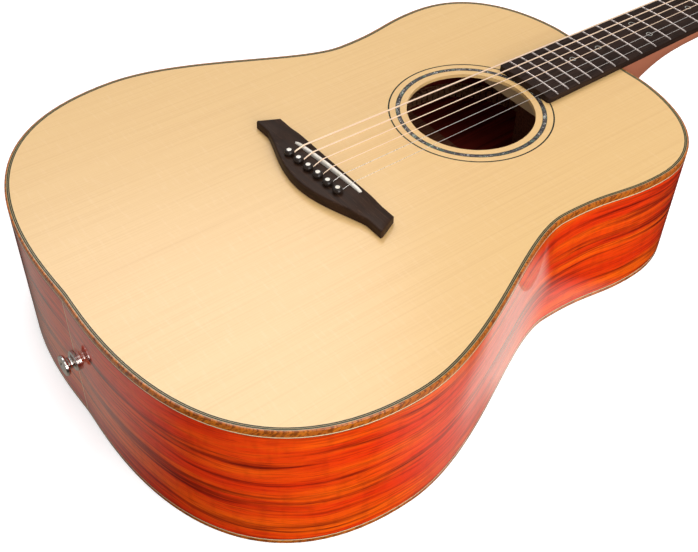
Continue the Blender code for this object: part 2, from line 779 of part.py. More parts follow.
def make_nut(frame):
    half = BOARD_NUT_HALF
    low, high = NUT_Y, NUT_Y + NUT[0]
    top = arc_top(half, NUT[1], 6)
    ends = [[(x, y, z) for x, z in top] + [(-half, y, GAP), (half, y, GAP)] for y in (low, high)]
    nut = loft("nut", ends)
    slots = []
    for i, gauge in enumerate(STRING_GAUGES):
        x = (i - 2.5) * NUT_PITCH
        room = gauge / 2 + SLOT_ROOM
        slots.append(box("nut_slot", (x - room, low - MM, 6.0 * MM), (x + room, high + MM, 0.02)))
    finish(cut_now(nut, *slots), bone(), frame)


def make_truss_rod(frame):
    place = Matrix.Rotation(math.radians(-90), 4, "X")
    place.translation = (0, 0, ROD_Z)
    truss = rod("truss_rod", ROD_R, ROD_NUT[0] + GAP, NUT_Y - 14 * MM, place)
    finish(truss, steel(), frame)
    middle = (ROD_NUT[0] + ROD_NUT[1]) / 2
    reach = (ROD_NUT[0] - ROD_NUT[1]) / 2
    socket, bottom = 1.6 * MM, -reach + 4 * MM
    profile = [(0, reach), (ROD_NUT[2], reach), (ROD_NUT[2], -reach), (socket, -reach), (socket, bottom),
               (0, bottom)]
    nut = turned("truss_rod_nut", profile, 12)
    nut.location = (0, middle, ROD_Z)
    nut.rotation_euler.x = math.radians(-90)
    finish(nut, steel(), frame)


# ---------------------------------------------------------------- tuners
def shaft_place(side, x, y):
    """Frame of a tuner's shaft, its local Z pointing out to the button."""
    place = Matrix.Translation((x, y - WORM_OFFSET, HEAD_BACK - SHAFT_DROP))
    return place @ Matrix.Rotation(side * math.radians(90), 4, "Y")


def make_housing(number, side, x, y, head):
    """A cast shell that is open to the head and holds the worm and the gear."""
    back = HEAD_BACK
    width, length, depth = HOUSING
    wall = HOUSING_WALL
    middle = y - WORM_OFFSET / 2
    low = (x - width / 2, middle - length / 2, back - depth)
    high = (x + width / 2, middle + length / 2, back)
    body = box(f"tuner_housing_{number}", low, high)
    edge = body.modifiers.new("Edges", "BEVEL")
    edge.width = wall
    edge.segments = 1
    body = to_mesh(body)
    room = box("gear_room", (low[0] + wall, low[1] + wall, low[2] + wall),
               (high[0] - wall, high[1] - wall, high[2] + MM))
    bore = rod("shaft_bore", WORM_R + GAP, 0, 0.02, shaft_place(side, x, y), 12)
    finish(cut_now(body, room, bore), chrome(), head)


def make_post(number, x, y, head):
    """String post with its gear wheel inside the housing."""
    gear_low = HEAD_BACK - SHAFT_DROP - GEAR_T / 2
    profile = [(0, 18.5), (2.6, 18.5), (3.0, 18), (3.0, 13), (2.75, 11.5), (2.75, 8.5), (3.0, 7)]
    profile = [(r * MM, z * MM) for r, z in profile]
    profile += [(POST_R, gear_low + GEAR_T), (GEAR_R, gear_low + GEAR_T), (GEAR_R, gear_low), (0, gear_low)]
    post = turned(f"tuner_post_{number}", profile, 12)
    post.location = (x, y, 0)
    finish(post, chrome(), head)


def make_knob(number, side, x, y, head):
    """Worm shaft and button, turning about the shaft's own line."""
    reach = KNOB_OUT - KNOB[0] + 2 * MM
    neck_r, shoulder, end = 1.9 * MM, 6 * MM, -5.5 * MM
    profile = [(0, reach), (neck_r, reach), (neck_r, shoulder), (WORM_R, shoulder), (WORM_R, end), (0, end)]
    shaft = turned(f"tuner_knob_{number}", profile, 12)
    oval = [(KNOB[0] * math.cos(a), KNOB[1] * math.sin(a)) for a in (math.tau * i / 12 for i in range(12))]
    button = plate("button", [oval], -KNOB[2], KNOB[2])
    edge = button.modifiers.new("Edges", "BEVEL")
    edge.width = 1.2 * MM
    edge.segments = 1
    button = to_mesh(button)
    button.data.transform(Matrix.Translation((0, 0, KNOB_OUT)) @ Matrix.Rotation(math.radians(90), 4, "Y"))
    knob = merge(shaft, button)
    knob.matrix_local = shaft_place(side, x, y)
    finish(knob, chrome(), head)


def make_tuners(head):
    for i, side, x, y in post_places():
        make_housing(i + 1, side, x, y, head)
        make_post(i + 1, x, y, head)
        make_knob(i + 1, side, x, y, head)


# ---------------------------------------------------------------- strings and endpin
def coil_points(side, x, y, radius, gauge):
    """The wraps of a string round its post, in the head's frame, from the inner side down."""
    steps, pitch = 8, gauge + 0.1 * MM
    start = math.pi if side > 0 else 0.0
    for k in range(int(WRAPS * steps) + 1):
        angle = start - side * math.tau * k / steps
        yield (x + radius * math.cos(angle), y + radius * math.sin(angle), 10.5 * MM - pitch * k / steps)


def make_strings(frame):
    """Each string runs from its pin over the saddle and the nut to its post."""
    to_head = head_frame_matrix()
    pins = list(pin_places())
    for i, side, post_x, post_y in post_places():
        gauge = STRING_GAUGES[i]
        radius = gauge / 2
        _, x, y = pins[i]
        saddle_y = SADDLE_Y + SADDLE_SLANT * x
        over_saddle = string_height(x, SADDLE_Y) + radius
        nut_x = (i - 2.5) * NUT_PITCH
        route = [(x, y + STRING_UP[0], BALL_END_Z), (x, y + STRING_UP[0], BRIDGE_TOP - 2.4 * MM),
                 (x, y + STRING_UP[1], BRIDGE_TOP + radius + 0.4 * MM),
                 (x, saddle_y - 1.6 * MM, over_saddle - 0.1 * MM),
                 (x, saddle_y + 1.2 * MM, over_saddle),
                 (nut_x, NUT_Y + MM, string_height(nut_x, NUT_Y) + radius)]
        wraps = coil_points(side, post_x, post_y, POST_R + 0.45 * MM + radius, gauge)
        route += [tuple(to_head @ Vector(point)) for point in wraps]
        finish(wire(f"string_{i + 1}", route, radius), bronze() if i < 4 else steel(), frame)


def make_endpin(frame):
    """Strap button and socket in one turned piece, through the side and the tail block."""
    face = 10.5
    profile = [(0, -16), (3.2, -16), (3.2, face), (6.6, face), (7.5, face - 0.9), (7.5, face - 2.6),
               (4.6, face - 4.2), (4.6, 3.4), (7.5, 2.2), (7.5, 0.3), (6.0, 0.3), (6.0, -30), (0, -30)]
    jack = turned("endpin_jack", [(r * MM, z * MM) for r, z in profile], 16)
    jack.location = (0, TAIL_Y, JACK_Z)
    jack.rotation_euler.x = math.radians(90)
    finish(jack, chrome(), frame)


def main():
    clear_scene()
    frame = empty("top_frame")
    head = empty("head_frame", frame)
    head.matrix_local = head_frame_matrix()
    pin_holes = as_cutter(pin_hole_cutter(), frame)
    hole = jack_hole(frame)
    make_soundboard(frame, pin_holes)
    make_back(frame)
    make_sides(frame, hole)
    make_top_edge(frame)
    make_blocks(frame, hole)
    make_x_braces(frame)
    make_top_braces(frame, pin_holes)
    make_back_braces(frame)
    make_bridge(frame, pin_holes)
    make_saddle(frame)
    make_pins(frame)
    make_fingerboard(frame)
    make_neck(frame, head)
    make_nut(frame)
    make_truss_rod(frame)
    make_tuners(head)
    make_strings(frame)
    make_endpin(frame)
    turn = Matrix.Rotation(-TAPER, 4, "X")
    frame.matrix_world = turn @ Matrix.Translation((0, -REST_Y, back_depth(REST_Y)))


main()
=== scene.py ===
"""Acoustic guitar: finished surfaces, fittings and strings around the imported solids.

Pieces are laid out in the luthier's frame: origin at the 14th fret on the centre line, level with the
soundboard, +X to the treble side, +Y to the head, +Z out of the soundboard. TO_WORLD takes that frame
to the one in which the tapered back lies flat on the floor.
"""

import json
import math

import bmesh
import bpy
from bpy.props import FloatProperty, FloatVectorProperty, IntProperty, PointerProperty
from mathutils import Matrix, Vector


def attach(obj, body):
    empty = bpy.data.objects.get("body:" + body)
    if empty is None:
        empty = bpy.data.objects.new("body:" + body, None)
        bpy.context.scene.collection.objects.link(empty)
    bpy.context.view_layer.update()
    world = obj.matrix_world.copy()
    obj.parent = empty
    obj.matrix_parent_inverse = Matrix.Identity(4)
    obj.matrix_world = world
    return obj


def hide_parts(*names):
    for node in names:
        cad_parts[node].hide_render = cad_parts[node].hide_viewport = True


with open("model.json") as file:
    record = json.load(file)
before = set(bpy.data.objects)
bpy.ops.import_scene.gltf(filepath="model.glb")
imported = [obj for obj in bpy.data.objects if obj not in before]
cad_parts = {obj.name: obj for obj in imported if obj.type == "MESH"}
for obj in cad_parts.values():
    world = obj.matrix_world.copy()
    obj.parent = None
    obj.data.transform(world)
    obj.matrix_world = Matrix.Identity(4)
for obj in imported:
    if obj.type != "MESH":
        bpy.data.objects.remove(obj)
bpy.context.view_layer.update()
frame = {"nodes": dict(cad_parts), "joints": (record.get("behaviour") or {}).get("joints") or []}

bl_info = {
    "name": "Flat-top guitar",
    "version": (1, 0, 0),
    "blender": (4, 5, 0),
    "location": "3D View > Sidebar > Guitar",
    "description": "Woods, inlays, strings and fittings of a steel-string guitar",
    "category": "Object",
}

# ---------------------------------------------------------------- sizes shared with the solids (metres)
MM = 0.001
GAP = 0.3 * MM
SCALE_LENGTH = 645 * MM
BODY_FRET = 14
NUT_Y = SCALE_LENGTH * (1 - 2 ** (-BODY_FRET / 12))

NECK_END_Y = -5.7 * MM
NECK_FLAT_X = 46 * MM
UPPER_BOUT = (144.3 * MM, -90.1 * MM)
WAIST = (134.8 * MM, -180.9 * MM)
LOWER_BOUT = (198.0 * MM, -364.9 * MM)
TAIL_Y = -503 * MM
SHOULDER_PULL = (4 * MM, 81.1 * MM)
CHEST_PULL = (38.5 * MM, 46.6 * MM)
HIP_PULL = (40.6 * MM, 65.6 * MM)
TAIL_PULL = (156.3 * MM, 28.3 * MM)
NECK_END_DEPTH = 99 * MM
REST_Y = -250 * MM

TOP_T = 3 * MM
BACK_T = 2.5 * MM
SIDE_T = 2.2 * MM
TOP_BINDING_H = 4.9 * MM
BACK_BINDING_H = 3.7 * MM
LINING_W = 6 * MM
TOP_LINING_H = 14 * MM
BACK_LINING_H = 12 * MM
ROD_GAP_X = 3.8 * MM
ROD_Z = -6.7 * MM
ROD_R = 2.9 * MM

HOLE_Y = -151 * MM
HOLE_R = 51 * MM

BRIDGE_FRONT_Y = -285 * MM
BRIDGE_BACK_Y = -302.3 * MM
BRIDGE_BELLY = 16 * MM
BRIDGE_HALF_FRONT = 69.5 * MM
BRIDGE_HALF_BACK = 77 * MM
BRIDGE_TOP = 8.3 * MM
BRIDGE_H = 8 * MM
WING_H = 6.6 * MM
SADDLE_Y = -291.2 * MM
SADDLE_SLANT = 0.063
SADDLE_HALF = 37.5 * MM
SADDLE_HALF_T = 1.5 * MM
SADDLE_TOP = 11.3 * MM
SADDLE_SLOT = 4.5 * MM
PIN_Y = -304.4 * MM
PIN_PITCH = 11 * MM
PIN_HOLE_R = 3 * MM
PIN_NOTCH = 6.8 * MM
PIN_END_Z = -17 * MM

BOARD_TOP = 6.3 * MM
BOARD_RADIUS = 406 * MM
BOARD_NUT_HALF = 21.5 * MM
BOARD_BODY_HALF = 27.7 * MM
BOARD_END_Y = -94.5 * MM
NUT = (5 * MM, 8.6 * MM)
NUT_PITCH = 7.2 * MM
STRING_OVER_NUT = 7.7 * MM
STRING_GAUGES = tuple(g * MM for g in (1.35, 1.07, 0.81, 0.61, 0.41, 0.305))

HEEL_DEPTH = 92 * MM
HEAD_ANGLE = 14.0
HEAD_T = 14.5 * MM
VENEER_T = 2 * MM
HEAD_LENGTH = 168 * MM
HEAD_BACK = -VENEER_T - GAP - HEAD_T - GAP
HEAD_POST_Y = (36 * MM, 76 * MM, 116 * MM)
HEAD_POST_X = (24 * MM, 25.5 * MM, 27 * MM)
POST_HOLE_R = 4 * MM
WORM_OFFSET = 7.1 * MM
SHAFT_DROP = 6.4 * MM
HOUSING = (17 * MM, 23 * MM, 11.5 * MM)
HOUSING_WALL = 1.5 * MM
KNOB_OUT = 23.5 * MM
KNOB = (7.5 * MM, 9.5 * MM, 3.2 * MM)
JACK_Z = -63 * MM
JACK_R = 6 * MM

# ---------------------------------------------------------------- sizes of the finished pieces only
FLOOR_DROP = 0.3 * MM               # keeps the floor out of the plane of the flat back
OUTER_RING_HALF = 0.6 * MM
HAIRLINE = 0.35 * MM
LUGS = (-13.6 * MM, 13.6 * MM)      # from the middle of a housing to its two screws
LUG_R = 3.2 * MM
LUG_T = 1.2 * MM
POST_EYE_Z = 14.6 * MM              # the hole in a post that its string goes into
STRING_END_Z = -14 * MM
QUARTER = math.radians(90)

TOP_NORMAL = next(j["axis"] for j in frame["joints"] if j["name"] == "pin_1_pull")
TAPER = math.atan2(TOP_NORMAL[1], TOP_NORMAL[2])

SHAFT_SHAPE = ((1, 0), (1, 0.15), (0.95, 0.42), (0.8, 0.68), (0.55, 0.88), (0.28, 0.97), (0, 1))
HEEL_SHAPE = ((1, 0), (0.95, 0.2), (0.85, 0.42), (0.72, 0.65), (0.58, 0.85), (0.48, 0.97), (0, 1))
RING_INLAY_FRETS = ((3, 0), (5, 0), (7, 0), (9, 0), (12, 10.2), (12, -10.2), (15, 0), (17, 0))


def back_depth(y):
    return NECK_END_DEPTH + math.tan(TAPER) * (NECK_END_Y - y)


TO_WORLD = Matrix.Rotation(-TAPER, 4, "X") @ Matrix.Translation((0, -REST_Y, back_depth(REST_Y)))
HEAD = Matrix.Translation((0, NUT_Y + NUT[0] + GAP, 0)) @ Matrix.Rotation(-math.radians(HEAD_ANGLE), 4, "X")
HEAD_TO_WORLD = TO_WORLD @ HEAD


# ---------------------------------------------------------------- settings a user can change
def length(name, text, default):
    return FloatProperty(name=name, description=text, default=default, min=0, unit="LENGTH", precision=5)


def colour(name, text, default):
    return FloatVectorProperty(name=name, description=text, default=default, size=3, min=0, max=1,
                               subtype="COLOR")


class GuitarColours(bpy.types.PropertyGroup):
    spruce: colour("Spruce", "Pale early wood of the top", (0.78, 0.50, 0.205))
    spruce_line: colour("Spruce lines", "Late wood between the pale bands of the top", (0.68, 0.39, 0.15))
    body_wood: colour("Body wood", "Bright ground of the sides and back", (0.80, 0.034, 0.0005))
    body_glow: colour("Body glow", "Orange curls of the sides and back", (0.98, 0.12, 0.001))
    body_streak: colour("Body streak", "Dark streaks of the sides and back", (0.15, 0.004, 0.0005))
    binding: colour("Binding", "Golden ground of the binding", (0.56, 0.155, 0.012))
    binding_flame: colour("Binding flame", "Dark flames across the binding", (0.12, 0.022, 0.002))
    cream: colour("Cream line", "Pale purfling lines", (0.80, 0.66, 0.42))
    dark_line: colour("Dark line", "Greenish black purfling lines", (0.018, 0.022, 0.014))
    neck: colour("Neck", "Brown ground of the neck", (0.44, 0.068, 0.020))
    neck_pore: colour("Neck pores", "Dark pores of the neck", (0.09, 0.016, 0.006))
    board: colour("Fingerboard", "Dark brown wood of the fingerboard", (0.030, 0.015, 0.010))
    bridge: colour("Bridge", "Dark brown wood of the bridge", (0.034, 0.016, 0.009))
    bone: colour("Bone", "Saddle and nut", (0.84, 0.78, 0.70))
    bronze: colour("Bronze", "Winding of the four low strings", (0.98, 0.72, 0.52))
    steel: colour("Steel", "Plain strings, rod and frets", (0.80, 0.74, 0.69))
    nickel: colour("Nickel", "Tuners and endpin", (0.60, 0.57, 0.53))


class GuitarTrim(bpy.types.PropertyGroup):
    binding_top: length("Binding top", "Width of the binding seen from the front", 1.3 * MM)
    light_line: length("Light line", "Width of the pale line inside the binding", 0.4 * MM)
    dark_band: length("Dark band", "Width of each dark band of the purfling", 0.8 * MM)
    thin_line: length("Thin line", "Width of the pale line between the dark bands", 0.35 * MM)
    side_line: length("Side line", "Height of the cream line under the binding", 0.7 * MM)
    shell_inner: length("Shell inner radius", "Inner radius of the shell ring", 56.8 * MM)
    shell_outer: length("Shell outer radius", "Outer radius of the shell ring", 59.4 * MM)
    outer_ring: length("Outer ring radius", "Middle radius of the thin outer ring", 65.3 * MM)
    fret_width: length("Fret width", "Width of the fret wire", 1.7 * MM)
    fret_height: length("Fret height", "Height of the fret wire over the board", 1.0 * MM)
    inlay_radius: length("Inlay radius", "Outer radius of a ring inlay", 2.7 * MM)
    inlay_width: length("Inlay width", "Width of a ring inlay's line", 0.45 * MM)
    kerf_pitch: length("Kerf pitch", "Distance between the saw cuts of the lining", 6.0 * MM)
    kerf_gap: length("Kerf gap", "Width of a saw cut", 1.2 * MM)
    ridge: FloatProperty(name="Winding ridge", description="Depth of the winding as a share of the string",
                         default=0.06, min=0, max=0.3, subtype="FACTOR")
    fret_count: IntProperty(name="Frets", description="Number of fret wires", default=20, min=1, max=24)


class GuitarStudio(bpy.types.PropertyGroup):
    floor: colour("Floor", "Colour of the floor", (0.94, 0.94, 0.94))
    sky: FloatProperty(name="Sky", description="Strength of the even light from all round",
                       default=0.42, min=0)
    key: FloatProperty(name="Key light", description="Power of the large light overhead, in watts",
                       default=11, min=0)
    sheen: FloatProperty(name="Sheen light", description="Power of the light that the top mirrors, in watts",
                         default=19, min=0)
    side: FloatProperty(name="Side light", description="Power of the soft light on the treble side, in watts",
                        default=20, min=0)
    lens: FloatProperty(name="Lens", description="Focal length of the camera in millimetres", default=53.73,
                        min=1)


# ---------------------------------------------------------------- node trees as expressions
class Wire:
    """One output of a node. Arithmetic on it adds Math nodes to the same tree."""

    def __init__(self, bench, node, output=0):
        self.bench = bench
        self.node = node
        self.socket = node.outputs[output] if len(node.outputs) else None

    def other(self, output):
        return Wire(self.bench, self.node, output)

    def math(self, operation, *values):
        sockets = {place: value for place, value in enumerate(values)}
        return self.bench.node("ShaderNodeMath", {"operation": operation}, sockets)

    def __mod__(self, value):
        return self.math("MODULO", self, value)

    def __abs__(self):
        return self.math("ABSOLUTE", self)


def arithmetic(operation):
    """The plain and the reflected form of an operator, as one Math node."""
    return (lambda wire, value: wire.math(operation, wire, value),
            lambda wire, value: wire.math(operation, value, wire))


for sign, operation in (("add", "ADD"), ("sub", "SUBTRACT"), ("mul", "MULTIPLY"), ("truediv", "DIVIDE"),
                        ("pow", "POWER")):
    plain, reflected = arithmetic(operation)
    setattr(Wire, f"__{sign}__", plain)
    setattr(Wire, f"__r{sign}__", reflected)


class Bench:
    """Adds nodes to one tree: a type, its settings, and the values or wires of its sockets."""

    def __init__(self, tree):
        self.tree = tree
        tree.nodes.clear()

    def node(self, kind, settings=None, sockets=None, output=0):
        made = self.tree.nodes.new(kind)
        for key, value in (settings or {}).items():
            setattr(made, key, value)
        for key, value in (sockets or {}).items():
            if isinstance(value, Wire):
                self.tree.links.new(value.socket, made.inputs[key])
            else:
                made.inputs[key].default_value = value
        return Wire(self, made, output)

    def place(self, source="Object"):
        """The three coordinates of a point, in metres."""
        where = self.node("ShaderNodeTexCoord", output=source)
        split = self.node("ShaderNodeSeparateXYZ", sockets={0: where})
        return split, split.other(1), split.other(2)

    def vector(self, x, y, z):
        return self.node("ShaderNodeCombineXYZ", sockets={0: x, 1: y, 2: z})

    def noise(self, x, y, z, detail=3.0, rough=0.5, warp=0.0):
        sockets = {"Vector": self.vector(x, y, z), "Scale": 1.0, "Detail": detail, "Roughness": rough,
                   "Distortion": warp}
        return self.node("ShaderNodeTexNoise", sockets=sockets)

    def ease(self, value, low, high, start=0.0, end=1.0):
        """Smooth step from start to end while the value goes from low to high."""
        sockets = {0: value, 1: low, 2: high, 3: start, 4: end}
        return self.node("ShaderNodeMapRange", {"interpolation_type": "SMOOTHSTEP"}, sockets)

    def mix(self, factor, first, second):
        sockets = {0: factor, 6: opaque(first), 7: opaque(second)}
        return self.node("ShaderNodeMix", {"data_type": "RGBA", "blend_type": "MIX"}, sockets, 2)

    def bump(self, height, distance, strength=1.0):
        sockets = {"Height": height, "Distance": distance, "Strength": strength}
        return self.node("ShaderNodeBump", sockets=sockets)


def opaque(value):
    return value if isinstance(value, Wire) else (*tuple(value)[:3], 1.0)


def material(name, recipe, *details):
    """The material of that name, made from its recipe the first time it is asked for."""
    made = bpy.data.materials.get(name)
    if made is None:
        made = bpy.data.materials.new(name)
        made.use_nodes = True
        bench = Bench(made.node_tree)
        sockets = recipe(bench, *details)
        shader = bench.node("ShaderNodeBsdfPrincipled", sockets=sockets)
        bench.node("ShaderNodeOutputMaterial", sockets={"Surface": shader})
    return made


def tints():
    return bpy.context.scene.guitar_colours


def trim():
    return bpy.context.scene.guitar_trim


# ---------------------------------------------------------------- finishes
def spruce_top_recipe(bench):
    """Fine straight grain, mirrored at the centre joint, with faint silk across it."""
    x, y, z = bench.place()
    off = abs(x)
    fine = bench.noise(off * 950, y * 7, z * 7, 2.0)
    band = bench.noise(off * 210 + 3, y * 1.6, 0.0, 2.0)
    broad = bench.noise(off * 28 + 7, y * 1.5, 0.0, 2.0)
    silk = bench.noise(off * 60, y * 420, 0.0, 3.0)
    line = bench.ease(fine, 0.42, 0.72) * 0.34 + bench.ease(band, 0.45, 0.75) * 0.08
    tone = bench.mix(line, tints().spruce, tints().spruce_line)
    tone = bench.mix(bench.ease(broad, 0.35, 0.8) * 0.20, tone, (0.76, 0.46, 0.19))
    tone = bench.mix(bench.ease(silk, 0.5, 0.8) * 0.14, tone, (0.90, 0.68, 0.40))
    joint = 1 - bench.ease(off, 0.0001, 0.0005)
    tone = bench.mix(joint * 0.35, tone, tints().spruce_line)
    return {"Base Color": tone, "Roughness": bench.ease(fine, 0.3, 0.8, 0.34, 0.42), "Coat Weight": 0.5,
            "Coat Roughness": 0.22, "Normal": bench.bump(fine, 0.00002, 0.5)}


def figured_wood(bench, along, across, coat):
    """Long wavy streaks along the grain over a bright ground, with short curls across it."""
    sway = bench.noise(along * 4.5, across * 12, 0.0, 3.0)
    course = across + sway * 0.020
    glow = bench.noise(along * 3.5 + 9, course * 40, 8.0, 4.0, 0.6)
    wide = bench.noise(along * 4 + 5, course * 120, 0.0, 4.0, 0.68)
    thin = bench.noise(along * 9, course * 330, 2.0, 4.0, 0.7)
    hair = bench.noise(along * 60, course * 1300, 4.0, 2.0)
    curl = bench.noise(along * 120, across * 45, 6.0, 2.0)
    tone = bench.mix(bench.ease(glow, 0.42, 0.66), tints().body_wood, tints().body_glow)
    dark = bench.ease(wide, 0.48, 0.66) * 0.78 + bench.ease(thin, 0.48, 0.68) * 0.55
    tone = bench.mix(dark, tone, tints().body_streak)
    tone = bench.mix(bench.ease(hair, 0.50, 0.75) * 0.40, tone, tints().body_streak)
    tone = bench.mix(bench.ease(curl, 0.45, 0.75) * 0.16, tone, tints().body_streak)
    return {"Base Color": tone, "Roughness": bench.ease(hair, 0.3, 0.8, 0.34, 0.46), "Coat Weight": coat,
            "Coat Roughness": 0.035, "Coat IOR": 1.5, "Specular IOR Level": 0.05,
            "Normal": bench.bump(hair, 0.000015, 0.4)}


def side_recipe(bench):
    x, y, _ = bench.place("UV")
    return figured_wood(bench, x, y, 1.0)


def back_recipe(bench):
    x, y, _ = bench.place()
    return figured_wood(bench, y, abs(x), 1.0)


def back_inside_recipe(bench):
    """Bare, unlacquered inner face of the back and sides."""
    x, y, _ = bench.place()
    grain = bench.noise(abs(x) * 160, y * 4, 0.0, 4.0, 0.6)
    tone = bench.mix(bench.ease(grain, 0.35, 0.7), (0.30, 0.030, 0.014), (0.12, 0.010, 0.005))
    return {"Base Color": tone, "Roughness": 0.75, "Specular IOR Level": 0.25,
            "Normal": bench.bump(grain, 0.0001, 0.4)}


def binding_recipe(bench):
    """Golden wood with flames across the strip, under gloss."""
    along, across, _ = bench.place("UV")
    lean = along + across * 0.8
    flame = bench.noise(lean * 420, across * 260, 0.0, 3.0, 0.6, 0.4)
    broad = bench.noise(lean * 70, across * 90, 3.0, 2.0)
    fine = bench.noise(along * 90, across * 1700, 5.0, 2.0)
    tone = bench.mix(bench.ease(broad, 0.35, 0.7), tints().binding, (0.44, 0.105, 0.010))
    tone = bench.mix(bench.ease(flame, 0.44, 0.60) * 0.80, tone, tints().binding_flame)
    tone = bench.mix(bench.ease(fine, 0.5, 0.8) * 0.35, tone, tints().binding_flame)
    return {"Base Color": tone, "Roughness": bench.ease(flame, 0.3, 0.7, 0.26, 0.36), "Coat Weight": 0.7,
            "Coat Roughness": 0.06, "Specular IOR Level": 0.1}


def line_recipe(bench, ground, speck):
    """A dyed or pale strip of wood in the purfling."""
    x, y, z = bench.place()
    fleck = bench.noise(x * 500, y * 500, z * 500, 3.0)
    tone = bench.mix(bench.ease(fleck, 0.4, 0.7) * 0.6, ground, speck)
    return {"Base Color": tone, "Roughness": bench.ease(fleck, 0.3, 0.7, 0.3, 0.42), "Coat Weight": 0.2,
            "Coat Roughness": 0.12, "Specular IOR Level": 0.08}


def shell_recipe(bench):
    """Cut shell: small tiles of grey, green and pale nacre with dark joints."""
    x, y, _ = bench.place()
    drift = bench.noise(x * 160, y * 160, 0.0, 3.0)
    place = bench.vector(x * 330 + drift * 1.6, y * 330 + drift * 1.3, 0.0)
    cell = bench.node("ShaderNodeTexVoronoi", {"feature": "F1"}, {"Vector": place, "Scale": 1.0}, "Color")
    split = bench.node("ShaderNodeSeparateColor", sockets={0: cell})
    ripple = bench.noise(x * 900, y * 700, split * 9, 3.0, 0.6, 0.6)
    tone = bench.mix(split.other(1), (0.026, 0.018, 0.019), (0.115, 0.090, 0.088))
    tone = bench.mix(bench.ease(split.other(2), 0.70, 0.98) * 0.8, tone, (0.10, 0.18, 0.13))
    tone = bench.mix(bench.ease(ripple + split * 0.35, 0.78, 0.98), tone, (0.72, 0.70, 0.62))
    tone = bench.mix(bench.ease(ripple, 0.52, 0.30) * 0.8, tone, (0.012, 0.010, 0.012))
    return {"Base Color": tone, "Roughness": bench.ease(ripple, 0.3, 0.8, 0.16, 0.32), "Coat Weight": 0.9,
            "Coat Roughness": 0.05, "Metallic": 0.25}


def pored_wood(bench, ground, pore, density, rough, coat, relief, shine=0.3):
    """Straight-grained hardwood with short dark pores along the grain."""
    x, y, z = bench.place()
    sway = bench.noise(x * 14, y * 4, z * 14, 2.0)
    wide = bench.noise(x * density * 0.25 + sway * 1.5, y * 3, z * density * 0.25, 3.0)
    pores = bench.noise(x * density, y * density * 0.045, z * density, 3.0, 0.65)
    tone = bench.mix(bench.ease(wide, 0.42, 0.64) * 0.55, ground, pore)
    tone = bench.mix(bench.ease(pores, 0.50, 0.62) * 0.85, tone, pore)
    return {"Base Color": tone, "Roughness": bench.ease(pores, 0.4, 0.7, rough, rough + 0.12),
            "Coat Weight": coat, "Coat Roughness": 0.1, "Specular IOR Level": shine,
            "Normal": bench.bump(1 - pores, relief, 0.6)}


def neck_recipe(bench):
    return pored_wood(bench, tints().neck, tints().neck_pore, 420, 0.36, 0.35, 0.00004)


def board_recipe(bench):
    return pored_wood(bench, tints().board, [c * 0.35 for c in tints().board], 900, 0.50, 0.0, 0.00004, 0.10)


def bridge_recipe(bench):
    """The same dark wood as the board, with its grain along the bridge."""
    x, y, z = bench.place()
    pores = bench.noise(x * 45, y * 1000, z * 1000, 3.0, 0.65)
    wide = bench.noise(x * 6, y * 190, z * 190, 3.0)
    tone = bench.mix(bench.ease(wide, 0.35, 0.7) * 0.7, tints().bridge, [c * 0.4 for c in tints().bridge])
    tone = bench.mix(bench.ease(pores, 0.55, 0.7) * 0.5, tone, (0.10, 0.052, 0.032))
    return {"Base Color": tone, "Roughness": bench.ease(pores, 0.4, 0.7, 0.42, 0.54),
            "Specular IOR Level": 0.10, "Normal": bench.bump(pores, 0.00004, 0.6)}


def inside_wood(bench, ground, dark, scale):
    """Sanded, unfinished wood with growth lines."""
    x, y, z = bench.place()
    lines = bench.noise(x * scale, y * scale * 0.03, z * scale, 3.0, 0.6)
    tone = bench.mix(bench.ease(lines, 0.4, 0.7), ground, dark)
    return {"Base Color": tone, "Roughness": bench.ease(lines, 0.3, 0.7, 0.7, 0.85),
            "Specular IOR Level": 0.25, "Normal": bench.bump(lines, 0.00008, 0.5)}


def bone_recipe(bench):
    """Polished bone with faint darker pores."""
    x, y, z = bench.place()
    cloud = bench.noise(x * 130, y * 260, z * 260, 3.0)
    pores = bench.noise(x * 500, y * 2600, z * 2600, 2.0)
    tone = bench.mix(bench.ease(cloud, 0.35, 0.75) * 0.5, tints().bone, (0.70, 0.60, 0.42))
    tone = bench.mix(bench.ease(pores, 0.62, 0.78) * 0.4, tone, (0.46, 0.36, 0.22))
    return {"Base Color": tone, "Roughness": bench.ease(cloud, 0.3, 0.7, 0.26, 0.36), "Coat Weight": 0.2}


def polished_black_recipe(bench):
    x, y, z = bench.place()
    wear = bench.noise(x * 700, y * 700, z * 700, 4.0, 0.6)
    tone = bench.mix(wear, (0.012, 0.007, 0.005), (0.028, 0.018, 0.014))
    return {"Base Color": tone, "Roughness": bench.ease(wear, 0.3, 0.8, 0.20, 0.32),
            "Specular IOR Level": 0.3}


def metal_recipe(bench, ground, rough, scale, metal=1.0):
    """Polished metal with a faint uneven sheen and fine drawing lines."""
    x, y, z = bench.place()
    haze = bench.noise(x * scale, y * scale, z * scale, 4.0, 0.6)
    tone = bench.mix(bench.ease(haze, 0.3, 0.8) * 0.35, ground, [c * 0.72 for c in ground])
    return {"Base Color": tone, "Metallic": metal,
            "Roughness": bench.ease(haze, 0.3, 0.8, rough, rough + 0.12),
            "Normal": bench.bump(haze, 0.000004, 0.3)}


